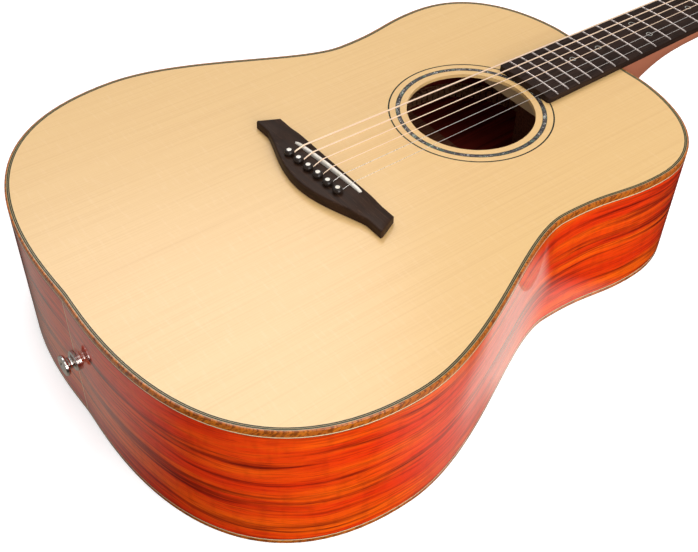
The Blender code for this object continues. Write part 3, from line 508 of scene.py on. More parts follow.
def floor_recipe(bench):
    """A pale floor that shows brighter than it lights the guitar.

    Three glowing patches on it paint pale reflections on the guitar's sides at the waist, belly and tail,
    in place of reflector cards: only reflections see them, and the camera does not. All other reflections
    see the floor nearly black.
    """
    x, y, _ = bench.place()
    cloud = bench.noise(x * 3, y * 3, 0.0, 3.0)
    ground = tuple(bpy.context.scene.guitar_studio.floor)
    tone = bench.mix(cloud, ground, [c * 0.985 for c in ground])
    ray = bench.node("ShaderNodeLightPath")
    # Masks of the painted reflections: pale patches that only glossy rays see, at the waist, belly and tail.
    waist = bench.ease(x + (y - 0.12) * 0.33, 0.164, 0.136)
    waist = waist * bench.ease(y, -0.06, 0.03) * bench.ease(y, 0.17, 0.13)
    belly_reflection = bench.ease(x, 0.17, 0.19) * bench.ease(y, -0.14, -0.05) * bench.ease(y, 0.05, -0.01)
    tail = bench.ease(y, -0.23, -0.27) * bench.ease(x, 0.12, 0.0)
    painted_reflection = (waist * 1.15 + belly_reflection * 0.4 + tail * 0.36) * ray.other("Is Glossy Ray")
    # Diffuse rays see the floor mid grey; glossy rays see it nearly black, apart from the painted reflection
    # patches.
    thrown = bench.mix(ray.other("Is Glossy Ray"), (0.34, 0.33, 0.32), (0.02, 0.015, 0.012))
    seen = bench.mix(ray.other("Is Camera Ray"), thrown, tone)
    # The patches glow for glossy rays as painted reflections; the camera sees the floor glow evenly.
    glow = bench.mix(painted_reflection, (0.0, 0.0, 0.0), (1.0, 0.90, 0.78))
    glow = bench.mix(ray.other("Is Camera Ray"), glow, (0.45, 0.45, 0.45))
    return {"Base Color": seen, "Roughness": 0.9, "Specular IOR Level": 0.1, "Emission Color": glow,
            "Emission Strength": 1.0}


def polished_bone():
    return material("polished_bone", bone_recipe)


def spruce_top():
    return material("spruce_top", spruce_top_recipe)


def cream_line():
    return material("cream_line", line_recipe, tuple(tints().cream), (0.66, 0.48, 0.26))


def olive_line():
    return material("olive_line", line_recipe, (0.40, 0.30, 0.14), (0.28, 0.19, 0.08))


def dark_line():
    return material("dark_line", line_recipe, tuple(tints().dark_line), (0.045, 0.050, 0.030))


def nickel():
    return material("nickel_plate", metal_recipe, tuple(tints().nickel), 0.10, 220)


def steel():
    return material("drawn_steel", metal_recipe, tuple(tints().steel), 0.24, 700, 0.6)


def bronze():
    return material("bronze_winding", metal_recipe, tuple(tints().bronze), 0.32, 900, 0.35)


def fret_metal():
    return material("fret_wire_metal", metal_recipe, (0.50, 0.43, 0.40), 0.24, 500)


def brace_wood():
    return material("brace_spruce", inside_wood, (0.62, 0.33, 0.17), (0.42, 0.19, 0.09), 700)


def block_wood():
    return material("block_mahogany", inside_wood, (0.26, 0.10, 0.05), (0.14, 0.045, 0.022), 500)


def lining_wood():
    return material("lining_mahogany", inside_wood, (0.42, 0.22, 0.11), (0.26, 0.11, 0.05), 600)


# ---------------------------------------------------------------- mesh helpers
def new_mesh(name, vertices, faces, uv=None, finishes=None):
    """A mesh with merged doubles and outward faces; uv gives one pair for each corner of each face."""
    mesh = bpy.data.meshes.new(name)
    mesh.from_pydata([tuple(v) for v in vertices], [], faces)
    if finishes is not None:
        mesh.polygons.foreach_set("material_index", finishes)
    if uv is not None:
        layer = mesh.uv_layers.new(name="UVMap")
        flat = [number for face in uv for pair in face for number in pair]
        layer.data.foreach_set("uv", flat)
    return merged(mesh)


def merged(mesh):
    """Merge a mesh's doubles and turn its faces outwards."""
    work = bmesh.new()
    work.from_mesh(mesh)
    bmesh.ops.remove_doubles(work, verts=work.verts, dist=1e-7)
    bmesh.ops.recalc_face_normals(work, faces=work.faces)
    work.to_mesh(mesh)
    work.free()
    return mesh


def turned(place, axis, angle=QUARTER):
    return Matrix.Translation(place) @ Matrix.Rotation(angle, 4, axis)


def scratch(name, mesh):
    obj = bpy.data.objects.new(name, mesh)
    bpy.context.scene.collection.objects.link(obj)
    return obj


def bake(obj):
    """The mesh that an object's modifiers give; the object is removed."""
    bpy.context.view_layer.update()
    graph = bpy.context.evaluated_depsgraph_get()
    mesh = bpy.data.meshes.new_from_object(obj.evaluated_get(graph))
    mesh.transform(obj.matrix_world)
    bpy.data.objects.remove(obj, do_unlink=True)
    return mesh


def bevelled(mesh, width, segments=2, angle=35):
    obj = scratch("bevel_work", mesh)
    edge = obj.modifiers.new("Edges", "BEVEL")
    edge.width = width
    edge.segments = segments
    edge.limit_method = "ANGLE"
    edge.angle_limit = math.radians(angle)
    return bake(obj)


def subdivided(mesh, levels):
    obj = scratch("smooth_work", mesh)
    smooth = obj.modifiers.new("Smooth", "SUBSURF")
    smooth.levels = levels
    smooth.render_levels = levels
    return bake(obj)


def carved(mesh, cutters, operation="DIFFERENCE"):
    """Cut a mesh with others, or join them to it, one after the other."""
    obj = scratch("carve_work", mesh)
    helpers = [scratch("carve_tool", cutter) for cutter in cutters]
    for helper in helpers:
        step = obj.modifiers.new("Cut", "BOOLEAN")
        step.operation = operation
        step.solver = "EXACT"
        step.object = helper
    result = bake(obj)
    for helper in helpers:
        bpy.data.objects.remove(helper, do_unlink=True)
    return result


def moved(mesh, matrix):
    mesh.transform(matrix)
    if matrix.determinant() < 0:
        mesh.flip_normals()
    return mesh


def box(low, high):
    low, high = Vector(low), Vector(high)
    work = bmesh.new()
    place = Matrix.Translation((low + high) / 2) @ Matrix.Diagonal((*(high - low), 1))
    bmesh.ops.create_cube(work, size=1, matrix=place)
    mesh = bpy.data.meshes.new("box")
    work.to_mesh(mesh)
    work.free()
    return mesh


def lathe(profile, steps=32):
    """A turned solid about Z from (radius, height) in millimetres, from top to bottom."""
    vertices, rings = [], []
    for radius, height in profile:
        if radius == 0:
            rings.append([len(vertices)] * steps)
            vertices.append((0, 0, height * MM))
            continue
        rings.append(list(range(len(vertices), len(vertices) + steps)))
        for k in range(steps):
            angle = math.tau * k / steps
            vertices.append((radius * MM * math.cos(angle), radius * MM * math.sin(angle), height * MM))
    faces = []
    for here, there in zip(rings, rings[1:]):
        for k in range(steps):
            after = (k + 1) % steps
            corners = [here[k], here[after], there[after], there[k]]
            faces.append(tuple(dict.fromkeys(corners)))
    return new_mesh("turned", vertices, faces)


def cylinder(radius, low, high, x=0.0, y=0.0, steps=24):
    profile = [(0, high / MM), (radius / MM, high / MM), (radius / MM, low / MM), (0, low / MM)]
    return moved(lathe(profile, steps), Matrix.Translation((x, y, 0)))


def loft(sections):
    """Join sections that have the same number of points, and close both ends."""
    count = len(sections[0])
    vertices = [point for section in sections for point in section]
    faces = []
    for row in range(len(sections) - 1):
        for k in range(count):
            after = (k + 1) % count
            low, high = row * count, (row + 1) * count
            faces.append((low + k, low + after, high + after, high + k))
    faces.append(tuple(range(count)))
    faces.append(tuple(range((len(sections) - 1) * count, len(sections) * count)))
    return new_mesh("loft", vertices, faces)


def plate(loops, low, high):
    """A flat outline, with any holes in it, from one height to another."""
    curve = bpy.data.curves.new("plate", "CURVE")
    curve.dimensions = "2D"
    curve.fill_mode = "BOTH"
    curve.extrude = (high - low) / 2
    for loop in loops:
        spline = curve.splines.new("POLY")
        spline.points.add(len(loop) - 1)
        for point, (x, y) in zip(spline.points, loop):
            point.co = (x, y, 0, 1)
        spline.use_cyclic_u = True
    obj = scratch("plate", curve)
    obj.location.z = (low + high) / 2
    return merged(bake(obj))


def circle(radius, x=0.0, y=0.0, steps=96):
    turn = [math.tau * k / steps for k in range(steps)]
    return [(x + radius * math.cos(a), y + radius * math.sin(a)) for a in turn]


def through(points, per):
    """A smooth line through the given points, with per steps between each two."""
    ends = [tuple(2 * a - b for a, b in zip(points[0], points[1]))]
    tail = [tuple(2 * a - b for a, b in zip(points[-1], points[-2]))]
    full = ends + [tuple(p) for p in points] + tail
    line = []
    for p0, p1, p2, p3 in zip(full, full[1:], full[2:], full[3:]):
        for k in range(per):
            t = k / per
            corners = zip(p0, p1, p2, p3)
            line.append(tuple(0.5 * (2 * b + (c - a) * t + (2 * a - 5 * b + 4 * c - d) * t * t
                                     + (3 * b - a - 3 * c + d) * t ** 3) for a, b, c, d in corners))
    return line + [tuple(points[-1])]


def combine(parts):
    """One mesh from several, each with its own material: (mesh, material) pairs."""
    work = bmesh.new()
    for place, (mesh, _) in enumerate(parts):
        start = len(work.faces)
        work.from_mesh(mesh)
        work.faces.ensure_lookup_table()
        for face in work.faces[start:]:
            face.material_index = place
    result = bpy.data.meshes.new("combined")
    work.to_mesh(result)
    work.free()
    for _, finish in parts:
        result.materials.append(finish)
    return result


def piece(name, mesh, finish, body="root", nodes=(), place=TO_WORLD, smooth=40):
    """Make a mesh a finished piece: in place, shaded, with its material, on its body."""
    mesh.transform(place)
    mesh.name = name
    if finish is not None:
        mesh.materials.clear()
        mesh.materials.append(finish)
    mesh.shade_smooth()
    mesh.set_sharp_from_angle(angle=math.radians(smooth))
    obj = scratch(name, mesh)
    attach(obj, body)
    if nodes:
        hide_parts(*nodes)
    return obj


def refinish(finish, *names):
    """Give carried-over solids their finished material."""
    for name in names:
        mesh = frame["nodes"][name].data
        mesh.materials.clear()
        mesh.materials.append(finish)


# ---------------------------------------------------------------- geometry trees
def geometry_tree(name, *inputs, whole=()):
    """A bench and its input node, for a tree that takes a mesh and the named numbers."""
    tree = bpy.data.node_groups.new(name, "GeometryNodeTree")
    tree.interface.new_socket("Geometry", in_out="INPUT", socket_type="NodeSocketGeometry")
    tree.interface.new_socket("Geometry", in_out="OUTPUT", socket_type="NodeSocketGeometry")
    for label in inputs:
        kind = "NodeSocketInt" if label in whole else "NodeSocketFloat"
        tree.interface.new_socket(label, in_out="INPUT", socket_type=kind)
    bench = Bench(tree)
    return bench, bench.node("NodeGroupInput")


def close_tree(bench, geometry, finish):
    """End a tree in Realize Instances and Set Material."""
    real = bench.node("GeometryNodeRealizeInstances", sockets={"Geometry": geometry})
    done = bench.node("GeometryNodeSetMaterial", sockets={"Geometry": real, "Material": finish})
    bench.node("NodeGroupOutput", sockets={"Geometry": done})
    return bench.tree


def grown(mesh, tree, values):
    """Run a tree on a mesh with its inputs set, and return the plain mesh that it makes."""
    obj = scratch("grow_work", mesh)
    step = obj.modifiers.new("Grow", "NODES")
    step.node_group = tree
    for item in tree.interface.items_tree:
        if item.in_out == "INPUT" and item.name in values:
            step[item.identifier] = values[item.name]
    obj.update_tag()
    return bake(obj)


def repeat_tree(finish, source):
    """Sets a copy of one small piece on every point of a mesh."""
    bench, group = geometry_tree("repeat_" + finish.name, "Size")
    info = bench.node("GeometryNodeObjectInfo", {"transform_space": "ORIGINAL"}, {"Object": source},
                      "Geometry")
    points = bench.node("GeometryNodeMeshToPoints", sockets={"Mesh": group})
    size = group.other("Size")
    copies = bench.node("GeometryNodeInstanceOnPoints", sockets={
        "Points": points, "Instance": info, "Scale": bench.vector(size, size, size)})
    return close_tree(bench, copies, finish)


def repeated(unit, places, finish):
    """Copies of a small mesh at the given places."""
    source = scratch("repeat_unit", unit)
    points = bpy.data.meshes.new("places")
    points.from_pydata([tuple(p) for p in places], [], [])
    mesh = grown(points, repeat_tree(finish, source), {"Size": 1.0})
    bpy.data.objects.remove(source, do_unlink=True)
    return mesh


def polyline(points, closed=False):
    mesh = bpy.data.meshes.new("line")
    edges = [(k, k + 1) for k in range(len(points) - 1)]
    if closed:
        edges.append((len(points) - 1, 0))
    mesh.from_pydata([tuple(p) for p in points], edges, [])
    return mesh


def string_tree(finish):
    """A round string along a line, ridged by its winding; a ridge of 0 leaves it plain."""
    bench, group = geometry_tree("string_" + finish.name, "Radius", "Pitch", "Ridge", "Sides",
                                 whole=("Sides",))
    line = bench.node("GeometryNodeMeshToCurve", sockets={"Mesh": group})
    line = bench.node("GeometryNodeResampleCurve", {"mode": "LENGTH"},
                      {"Curve": line, "Length": group.other("Pitch") * 0.5})
    index = bench.node("GeometryNodeInputIndex")
    swell = group.other("Radius") * (1 - group.other("Ridge") * (index % 2))
    ring = bench.node("GeometryNodeCurvePrimitiveCircle", {"mode": "RADIUS"},
                      {"Resolution": group.other("Sides"), "Radius": 1.0})
    line = bench.node("GeometryNodeSetCurveRadius", sockets={"Curve": line, "Radius": swell})
    body = bench.node("GeometryNodeCurveToMesh", sockets={
        "Curve": line, "Profile Curve": ring, "Fill Caps": True})
    if "Scale" in body.node.inputs:
        radius = bench.node("GeometryNodeInputRadius")
        bench.tree.links.new(radius.socket, body.node.inputs["Scale"])
    return close_tree(bench, body, finish)


def fret_tree(finish):
    """Spaces copies of one unit-long wire by the equal-tempered rule and crowns them to the board."""
    bench, group = geometry_tree("fret_spacing", "Frets", "Scale Length", "Nut Y", "Half At Nut",
                                 "Half At Body", "Board Radius", "Board Top", whole=("Frets",))
    points = bench.node("GeometryNodeMeshLine", {"mode": "OFFSET"}, {"Count": group.other("Frets")})
    number = bench.node("GeometryNodeInputIndex") + 1
    fall = 2 ** (number / -12)
    y = group.other("Nut Y") - group.other("Scale Length") * (1 - fall)
    share = (group.other("Nut Y") - y) / group.other("Nut Y")
    half = group.other("Half At Nut") + (group.other("Half At Body") - group.other("Half At Nut")) * share
    spaced = bench.node("GeometryNodeSetPosition", sockets={
        "Geometry": points, "Position": bench.vector(0.0, y, group.other("Board Top"))})
    stored = bench.node("GeometryNodeStoreNamedAttribute", {"data_type": "FLOAT", "domain": "POINT"},
                        {"Geometry": spaced, "Name": "half", "Value": half})
    reach = bench.node("GeometryNodeInputNamedAttribute", {"data_type": "FLOAT"}, {"Name": "half"})
    wires = bench.node("GeometryNodeInstanceOnPoints", sockets={
        "Points": stored, "Instance": group, "Scale": bench.vector(reach, 1.0, 1.0)})
    real = bench.node("GeometryNodeRealizeInstances", sockets={"Geometry": wires})
    spot = bench.node("ShaderNodeSeparateXYZ", sockets={0: bench.node("GeometryNodeInputPosition")})
    drop = spot * spot / (group.other("Board Radius") * -2)
    crowned = bench.node("GeometryNodeSetPosition", sockets={
        "Geometry": real, "Offset": bench.vector(0.0, 0.0, drop)})
    return close_tree(bench, crowned, finish)


def kerf_tree(finish):
    """Stands blocks side by side along a line, with a saw cut between each two."""
    bench, group = geometry_tree("kerfs", "Pitch", "Kerf", "Thickness", "Height")
    line = bench.node("GeometryNodeMeshToCurve", sockets={"Mesh": group})
    pitch = group.other("Pitch")
    spots = bench.node("GeometryNodeCurveToPoints", {"mode": "LENGTH"}, {"Curve": line, "Length": pitch})
    size = bench.vector(group.other("Thickness"), group.other("Height"), pitch - group.other("Kerf"))
    block = bench.node("GeometryNodeMeshCube", sockets={"Size": size})
    blocks = bench.node("GeometryNodeInstanceOnPoints", sockets={
        "Points": spots, "Instance": block, "Rotation": spots.other("Rotation")})
    return close_tree(bench, blocks, finish)


# ---------------------------------------------------------------- body outline
def bezier(start, pull_start, pull_end, end, steps):
    points = []
    for i in range(steps):
        t = i / steps
        s = 1 - t
        parts = (s ** 3, 3 * t * s * s, 3 * t * t * s, t ** 3)
        corners = (start, pull_start, pull_end, end)
        points.append(tuple(sum(k * c[axis] for k, c in zip(parts, corners)) for axis in (0, 1)))
    return points


def half_outline():
    """The treble half of the body's outline, from the neck to the tail."""
    neck, tail = (NECK_FLAT_X, NECK_END_Y), (0.0, TAIL_Y)
    (ux, uy), (wx, wy), (lx, ly) = UPPER_BOUT, WAIST, LOWER_BOUT
    points = [(0.0, NECK_END_Y), (NECK_FLAT_X / 2, NECK_END_Y)]
    points += bezier(neck, (neck[0] + SHOULDER_PULL[0], neck[1]), (ux, uy + SHOULDER_PULL[1]), UPPER_BOUT, 26)
    points += bezier(UPPER_BOUT, (ux, uy - CHEST_PULL[0]), (wx, wy + CHEST_PULL[1]), WAIST, 18)
    points += bezier(WAIST, (wx, wy - HIP_PULL[0]), (lx, ly + HIP_PULL[1]), LOWER_BOUT, 30)
    points += bezier(LOWER_BOUT, (lx, ly - TAIL_PULL[0]), (tail[0] + TAIL_PULL[1], tail[1]), tail, 44)
    return points + [tail]


def inset_half(inset):
    """The half outline moved inwards, square to itself."""
    points = half_outline()
    line = []
    for i, (x, y) in enumerate(points):
        before = points[i - 1] if i else (-points[1][0], points[1][1])
        after = points[i + 1] if i + 1 < len(points) else (-points[-2][0], points[-2][1])
        along = Vector((after[0] - before[0], after[1] - before[1])).normalized()
        line.append((x + along.y * inset, y - along.x * inset))
    line[0] = (0.0, line[0][1])
    line[-1] = (0.0, line[-1][1])
    return line


def rim(inset, gap=0.0, side=0, tail_gap=0.0):
    """The outline as a line from one side of the neck round to the other, or one half of it."""
    half = inset_half(inset)
    half[0] = (gap, half[0][1])
    if side:
        half[-1] = (tail_gap, half[-1][1])
        return [(side * x, y) for x, y in half]
    return half + [(-x, y) for x, y in reversed(half[:-1] if gap else half[1:-1])]


def on_top(height):
    return lambda y: height


def on_back(height):
    return lambda y: height - back_depth(y)


def edge_strip(profile, gap=0.0, side=0, tail_gap=0.0, bare=()):
    """Sweep a closed profile of (inset, height rule) along the body's edge, with UV in metres along it.

    The runs of the profile that are listed as bare take the second finish.
    """
    rows = [rim(inset, gap, side, tail_gap) for inset, _ in profile]
    count, closed = len(rows[0]), not gap and not side
    run = [0.0]
    for here, there in zip(rows[0], rows[0][1:] + rows[0][:1]):
        run.append(run[-1] + math.dist(here, there))
    vertices, across = [], []
    for row, (inset, height) in zip(rows, profile):
        for x, y in row:
            vertices.append((x, y, height(y)))
            across.append(height(y) - inset)
    faces, uv, finishes = [], [], []
    for k in range(len(profile)):
        low, high = k * count, (k + 1) % len(profile) * count
        for i in range(count if closed else count - 1):
            after = (i + 1) % count
            faces.append((low + i, low + after, high + after, high + i))
            finishes.append(1 if k in bare else 0)
            uv.append([(run[i], across[low + i]), (run[i + 1], across[low + after]),
                       (run[i + 1], across[high + after]), (run[i], across[high + i])])
    if not closed:
        for i in (0, count - 1):
            ends = [k * count + i for k in range(len(profile))]
            faces.append(tuple(ends))
            finishes.append(0)
            uv.append([(run[i], across[e]) for e in ends])
    return new_mesh("edge_strip", vertices, faces, uv, finishes)


def on_slope(mesh):
    """Lower a flat plate onto the tapered back."""
    for vertex in mesh.vertices:
        vertex.co.z -= back_depth(vertex.co.y)
    return mesh


def ring(outer, inner, low, high, y=HOLE_Y, steps=128):
    return plate([circle(outer, 0, y, steps), circle(inner, 0, y, steps)], low, high)


def pin_places():
    for i in range(6):
        x = (i - 2.5) * PIN_PITCH
        yield i, x, PIN_Y + SADDLE_SLANT * x


def post_places():
    """Number, side, and place on the head of each tuner, bass side first, from the nut outwards."""
    for i in range(6):
        side = -1 if i < 3 else 1
        row = i if i < 3 else 5 - i
        yield i, side, side * HEAD_POST_X[row], HEAD_POST_Y[row]


def fret_y(fret):
    return NUT_Y - SCALE_LENGTH * (1 - 2 ** (-fret / 12))


def board_half(y):
    return BOARD_NUT_HALF + (BOARD_BODY_HALF - BOARD_NUT_HALF) * (NUT_Y - y) / NUT_Y


def string_height(x, y):
    along = (NUT_Y - y) / (NUT_Y - SADDLE_Y)
    return STRING_OVER_NUT + along * (SADDLE_TOP - STRING_OVER_NUT) - x * x / (2 * BOARD_RADIUS)


def purfling_insets():
    """Insets of the rings inside the binding, from the edge inwards."""
    sizes = trim()
    edges = [sizes.binding_top]
    for width in (sizes.light_line, sizes.dark_band, sizes.thin_line, sizes.dark_band):
        edges.append(edges[-1] + width)
    return edges


def pin_tools(steps):
    """Cutters for the six pin holes, each with the notch that its string comes up through."""
    tools = []
    for i, x, y in pin_places():
        half = STRING_GAUGES[i] / 2 + GAP
        hole = cylinder(PIN_HOLE_R, -0.02, 0.02, x, y, steps)
        notch = box((x - half, y, -0.02), (x + half, y + PIN_NOTCH, 0.02))
        tools.append(carved(hole, [notch], "UNION"))
    return tools


# ---------------------------------------------------------------- operators
class GUITAR_OT_stage(bpy.types.Operator):
    """Lay the pale floor, hang the soft lights and set the camera"""
    bl_idname = "guitar.stage"
    bl_label = "Studio"

    EYE = Vector((479.34, -644.75, 480.94)) * MM
    LOOK = Vector((-0.56163, 0.44109, -0.70001))
    UP = Vector((-0.57026, 0.40663, 0.71376))

    def execute(self, context):
        self.lay_floor()
        self.light_sky(context)
        studio = context.scene.guitar_studio
        self.hang("key_light", studio.key, (1.6, 1.4), (0.9, 0.3, 1.8), (0.05, 0.05, 0.1))
        self.hang("sheen_light", studio.sheen, (1.2, 1.2), (-1.1, 0.45, 1.9), (0.1, -0.1, 0.1))
        self.hang("side_light", studio.side, (1.1, 0.9), (1.55, -0.12, 0.62), (0.1, 0.05, 0.05))
        self.set_camera(context, studio.lens)
        return {"FINISHED"}

    def lay_floor(self):
        work = bmesh.new()
        bmesh.ops.create_grid(work, x_segments=8, y_segments=8, size=6,
                              matrix=Matrix.Translation((0, 0, -FLOOR_DROP)))
        mesh = bpy.data.meshes.new("studio_floor")
        work.to_mesh(mesh)
        work.free()
        mesh.materials.append(material("studio_floor", floor_recipe))
        scratch("studio_floor", mesh)

    def light_sky(self, context):
        world = bpy.data.worlds.new("studio_sky")
        world.use_nodes = True
        sky = world.node_tree.nodes["Background"]
        sky.inputs["Color"].default_value = (1.0, 1.0, 1.0, 1.0)
        sky.inputs["Strength"].default_value = context.scene.guitar_studio.sky
        context.scene.world = world
        context.scene.view_settings.view_transform = "Standard"

    def hang(self, name, power, size, place, target):
        light = bpy.data.lights.new(name, "AREA")
        light.shape = "RECTANGLE"
        light.size, light.size_y = size
        light.energy = power
        obj = bpy.data.objects.new(name, light)
        obj.location = place
        obj.rotation_euler = (Vector(target) - Vector(place)).to_track_quat("-Z", "Y").to_euler()
        bpy.context.scene.collection.objects.link(obj)

    def set_camera(self, context, lens):
        camera = bpy.data.cameras.new("camera")
        camera.lens = lens
        camera.sensor_width = 36
        camera.clip_start = 0.01
        obj = bpy.data.objects.new("camera", camera)
        back = -self.LOOK.normalized()
        right = self.UP.cross(back).normalized()
        turn = Matrix((right, back.cross(right), back)).transposed().to_4x4()
        obj.matrix_world = TO_WORLD @ Matrix.Translation(self.EYE) @ turn
        context.scene.collection.objects.link(obj)
        context.scene.camera = obj


class GUITAR_OT_top(bpy.types.Operator):
    """Make the spruce top with its soundhole, ring grooves and pin holes"""
    bl_idname = "guitar.top"
    bl_label = "Top"

    def execute(self, context):
        sizes = trim()
        inner = purfling_insets()[-1]
        board = plate([rim(inner), circle(HOLE_R, 0, HOLE_Y, 160)], -TOP_T, 0)
        half = OUTER_RING_HALF
        grooves = [ring(sizes.shell_outer + 0.5 * MM, sizes.shell_inner - 0.5 * MM, -1.4 * MM, 2 * MM),
                   ring(sizes.outer_ring + half, sizes.outer_ring - half, -1.4 * MM, 2 * MM)]
        board = carved(board, grooves + pin_tools(24))
        piece("spruce_top_plate", board, spruce_top(), nodes=["soundboard"], smooth=30)
        return {"FINISHED"}


class GUITAR_OT_rosette(bpy.types.Operator):
    """Inlay the shell ring with its dark borders, and the thin outer ring"""
    bl_idname = "guitar.rosette"
    bl_label = "Rosette"

    def execute(self, context):
        sizes = trim()
        low, top = -1.35 * MM, 0.03 * MM
        inner, outer = sizes.shell_inner, sizes.shell_outer
        border = 0.5 * MM
        shell = combine([(ring(outer, inner, low, top, steps=160), material("cut_shell", shell_recipe)),
                         (ring(outer + border, outer, low, top, steps=160), dark_line()),
                         (ring(inner, inner - border, low, top, steps=160), dark_line())])
        piece("shell_ring", shell, None, nodes=["rosette"], smooth=30)
        half = OUTER_RING_HALF
        thin = ring(sizes.outer_ring + half, sizes.outer_ring - half, low, top, steps=160)
        piece("outer_ring", thin, dark_line(), smooth=30)
        return {"FINISHED"}


class GUITAR_OT_edges(bpy.types.Operator):
    """Bind the edges of the body and run the purfling lines"""
    bl_idname = "guitar.edges"
    bl_label = "Binding and purfling"

    def execute(self, context):
        sizes = trim()
        wood = material("flamed_binding", binding_recipe)
        wide, line = sizes.binding_top, sizes.side_line
        round_over = ((0.75, 0.0), (0.35, -0.08), (0.1, -0.3), (0.0, -0.7))
        top = [(wide, on_top(0.0))] + [(i * MM, on_top(z * MM)) for i, z in round_over]
        top += [(0.0, on_top(-TOP_BINDING_H)), (wide, on_top(-TOP_BINDING_H))]
        piece("top_binding_strip", edge_strip(top, ROD_GAP_X), wood, nodes=["top_binding"])
        low = [(SIDE_T, on_back(0.0))] + [(i * MM, on_back(-z * MM)) for i, z in round_over]
        low += [(0.0, on_back(BACK_BINDING_H)), (SIDE_T, on_back(BACK_BINDING_H))]
        piece("back_binding_strip", edge_strip(low), wood, nodes=["back_binding"])
        insets = purfling_insets()
        names = ("purfling_light_outer", "purfling_dark_outer", "purfling_light_inner", "purfling_dark_inner")
        for name, start, end in zip(names, insets, insets[1:]):
            finish = olive_line() if "light" in name else dark_line()
            flat = self.block(start, end, on_top(-1.5 * MM), on_top(0.0))
            piece(name, edge_strip(flat), finish, smooth=30)
        top, back = -TOP_BINDING_H, BACK_BINDING_H
        lines = (("top_side_cream", on_top, top - line, top, cream_line(), ROD_GAP_X),
                 ("top_side_hairline", on_top, top - line - HAIRLINE, top - line, dark_line(), ROD_GAP_X),
                 ("back_side_cream", on_back, back, back + line, cream_line(), 0.0),
                 ("back_side_hairline", on_back, back + line, back + line + HAIRLINE, dark_line(), 0.0))
        for name, rule, start, end, finish, gap in lines:
            flat = self.block(0.0, SIDE_T, rule(start), rule(end))
            piece(name, edge_strip(flat, gap), finish, smooth=30)
        return {"FINISHED"}

    @staticmethod
    def block(start, end, low, high):
        return [(start, low), (start, high), (end, high), (end, low)]


class GUITAR_OT_sides(bpy.types.Operator):
    """Bend the two figured sides and inlay the line where they meet at the tail"""
    bl_idname = "guitar.sides"
    bl_label = "Sides"
    TAIL_LINE = 0.9 * MM

    def execute(self, context):
        line = trim().side_line + HAIRLINE
        high = on_top(-TOP_BINDING_H - line)
        low = on_back(BACK_BINDING_H + line)
        wood = material("figured_side", side_recipe)
        bare = material("bare_inside", back_inside_recipe)
        rows = 5
        for name, side, node in (("bass_side", -1, "side_bass"), ("treble_side", 1, "side_treble")):
            outer = [(0.0, self.between(low, high, k / rows)) for k in range(rows + 1)]
            profile = outer + [(SIDE_T, high), (SIDE_T, low)]
            mesh = edge_strip(profile, ROD_GAP_X, side, self.TAIL_LINE / 2, bare=(rows + 1,))
            mesh.materials.append(wood)
            mesh.materials.append(bare)
            piece(name, self.drill(mesh), None, nodes=[node], smooth=30)
        self.tail_line(low, high)
        return {"FINISHED"}

    @staticmethod
    def between(low, high, share):
        return lambda y: low(y) + (high(y) - low(y)) * share

    @staticmethod
    def drill(mesh):
        hole = cylinder(JACK_R + GAP, -0.04, 0.02, steps=32)
        return carved(mesh, [moved(hole, turned((0, TAIL_Y, JACK_Z), "X"))])

    def tail_line(self, low, high):
        half = self.TAIL_LINE / 2
        strip = [(-half, TAIL_Y), (half, TAIL_Y), (half, TAIL_Y + SIDE_T), (-half, TAIL_Y + SIDE_T)]
        mesh = self.drill(plate([strip], low(TAIL_Y), high(TAIL_Y)))
        piece("tail_line", mesh, cream_line(), smooth=30)


class GUITAR_OT_back(bpy.types.Operator):
    """Match the two halves of the back at their centre strip"""
    bl_idname = "guitar.back"
    bl_label = "Back"
    STRIP = 3.0 * MM

    def execute(self, context):
        wood = material("figured_back", back_recipe)
        bare = material("bare_inside", back_inside_recipe)
        inset = SIDE_T + 1.1 * MM
        for name, side, nodes in (("back_half_bass", -1, []), ("back_half_treble", 1, ["back_plate"])):
            loop = rim(inset, self.STRIP, side, self.STRIP)
            mesh = on_slope(plate([loop], 0, BACK_T))
            self.two_faced(mesh, wood, bare)
            piece(name, mesh, None, nodes=nodes, smooth=30)
        half = self.STRIP
        neck, tail = NECK_END_Y - inset, TAIL_Y + inset
        lines = (("back_strip_middle", -half / 2, half / 2, material("flamed_strip", self.strip_recipe)),
                 ("back_strip_left", -half, -half / 2, dark_line()),
                 ("back_strip_right", half / 2, half, dark_line()))
        for name, left, right, finish in lines:
            mesh = on_slope(plate([[(left, tail), (right, tail), (right, neck), (left, neck)]], 0, BACK_T))
            piece(name, mesh, finish, smooth=30)
        edge = [(SIDE_T, on_back(0)), (SIDE_T, on_back(BACK_T)), (inset, on_back(BACK_T)),
                (inset, on_back(0))]
        piece("back_purfling", edge_strip(edge), dark_line(), smooth=30)
        return {"FINISHED"}

    @staticmethod
    def strip_recipe(bench):
        """Slanting blocks of pale and dark wood, as in a marquetry strip."""
        x, y, _ = bench.place()
        step = (y * 260 + abs(x) * 420 + 1000) % 1
        tone = bench.mix(bench.ease(step, 0.45, 0.55), tints().cream, tints().binding_flame)
        return {"Base Color": tone, "Roughness": bench.ease(step, 0, 1, 0.28, 0.36), "Coat Weight": 1.0,
                "Coat Roughness": 0.05}

    @staticmethod
    def two_faced(mesh, outside, inside):
        mesh.materials.clear()
        mesh.materials.append(outside)
        mesh.materials.append(inside)
        for face in mesh.polygons:
            face.material_index = 1 if face.normal.z > 0.5 else 0


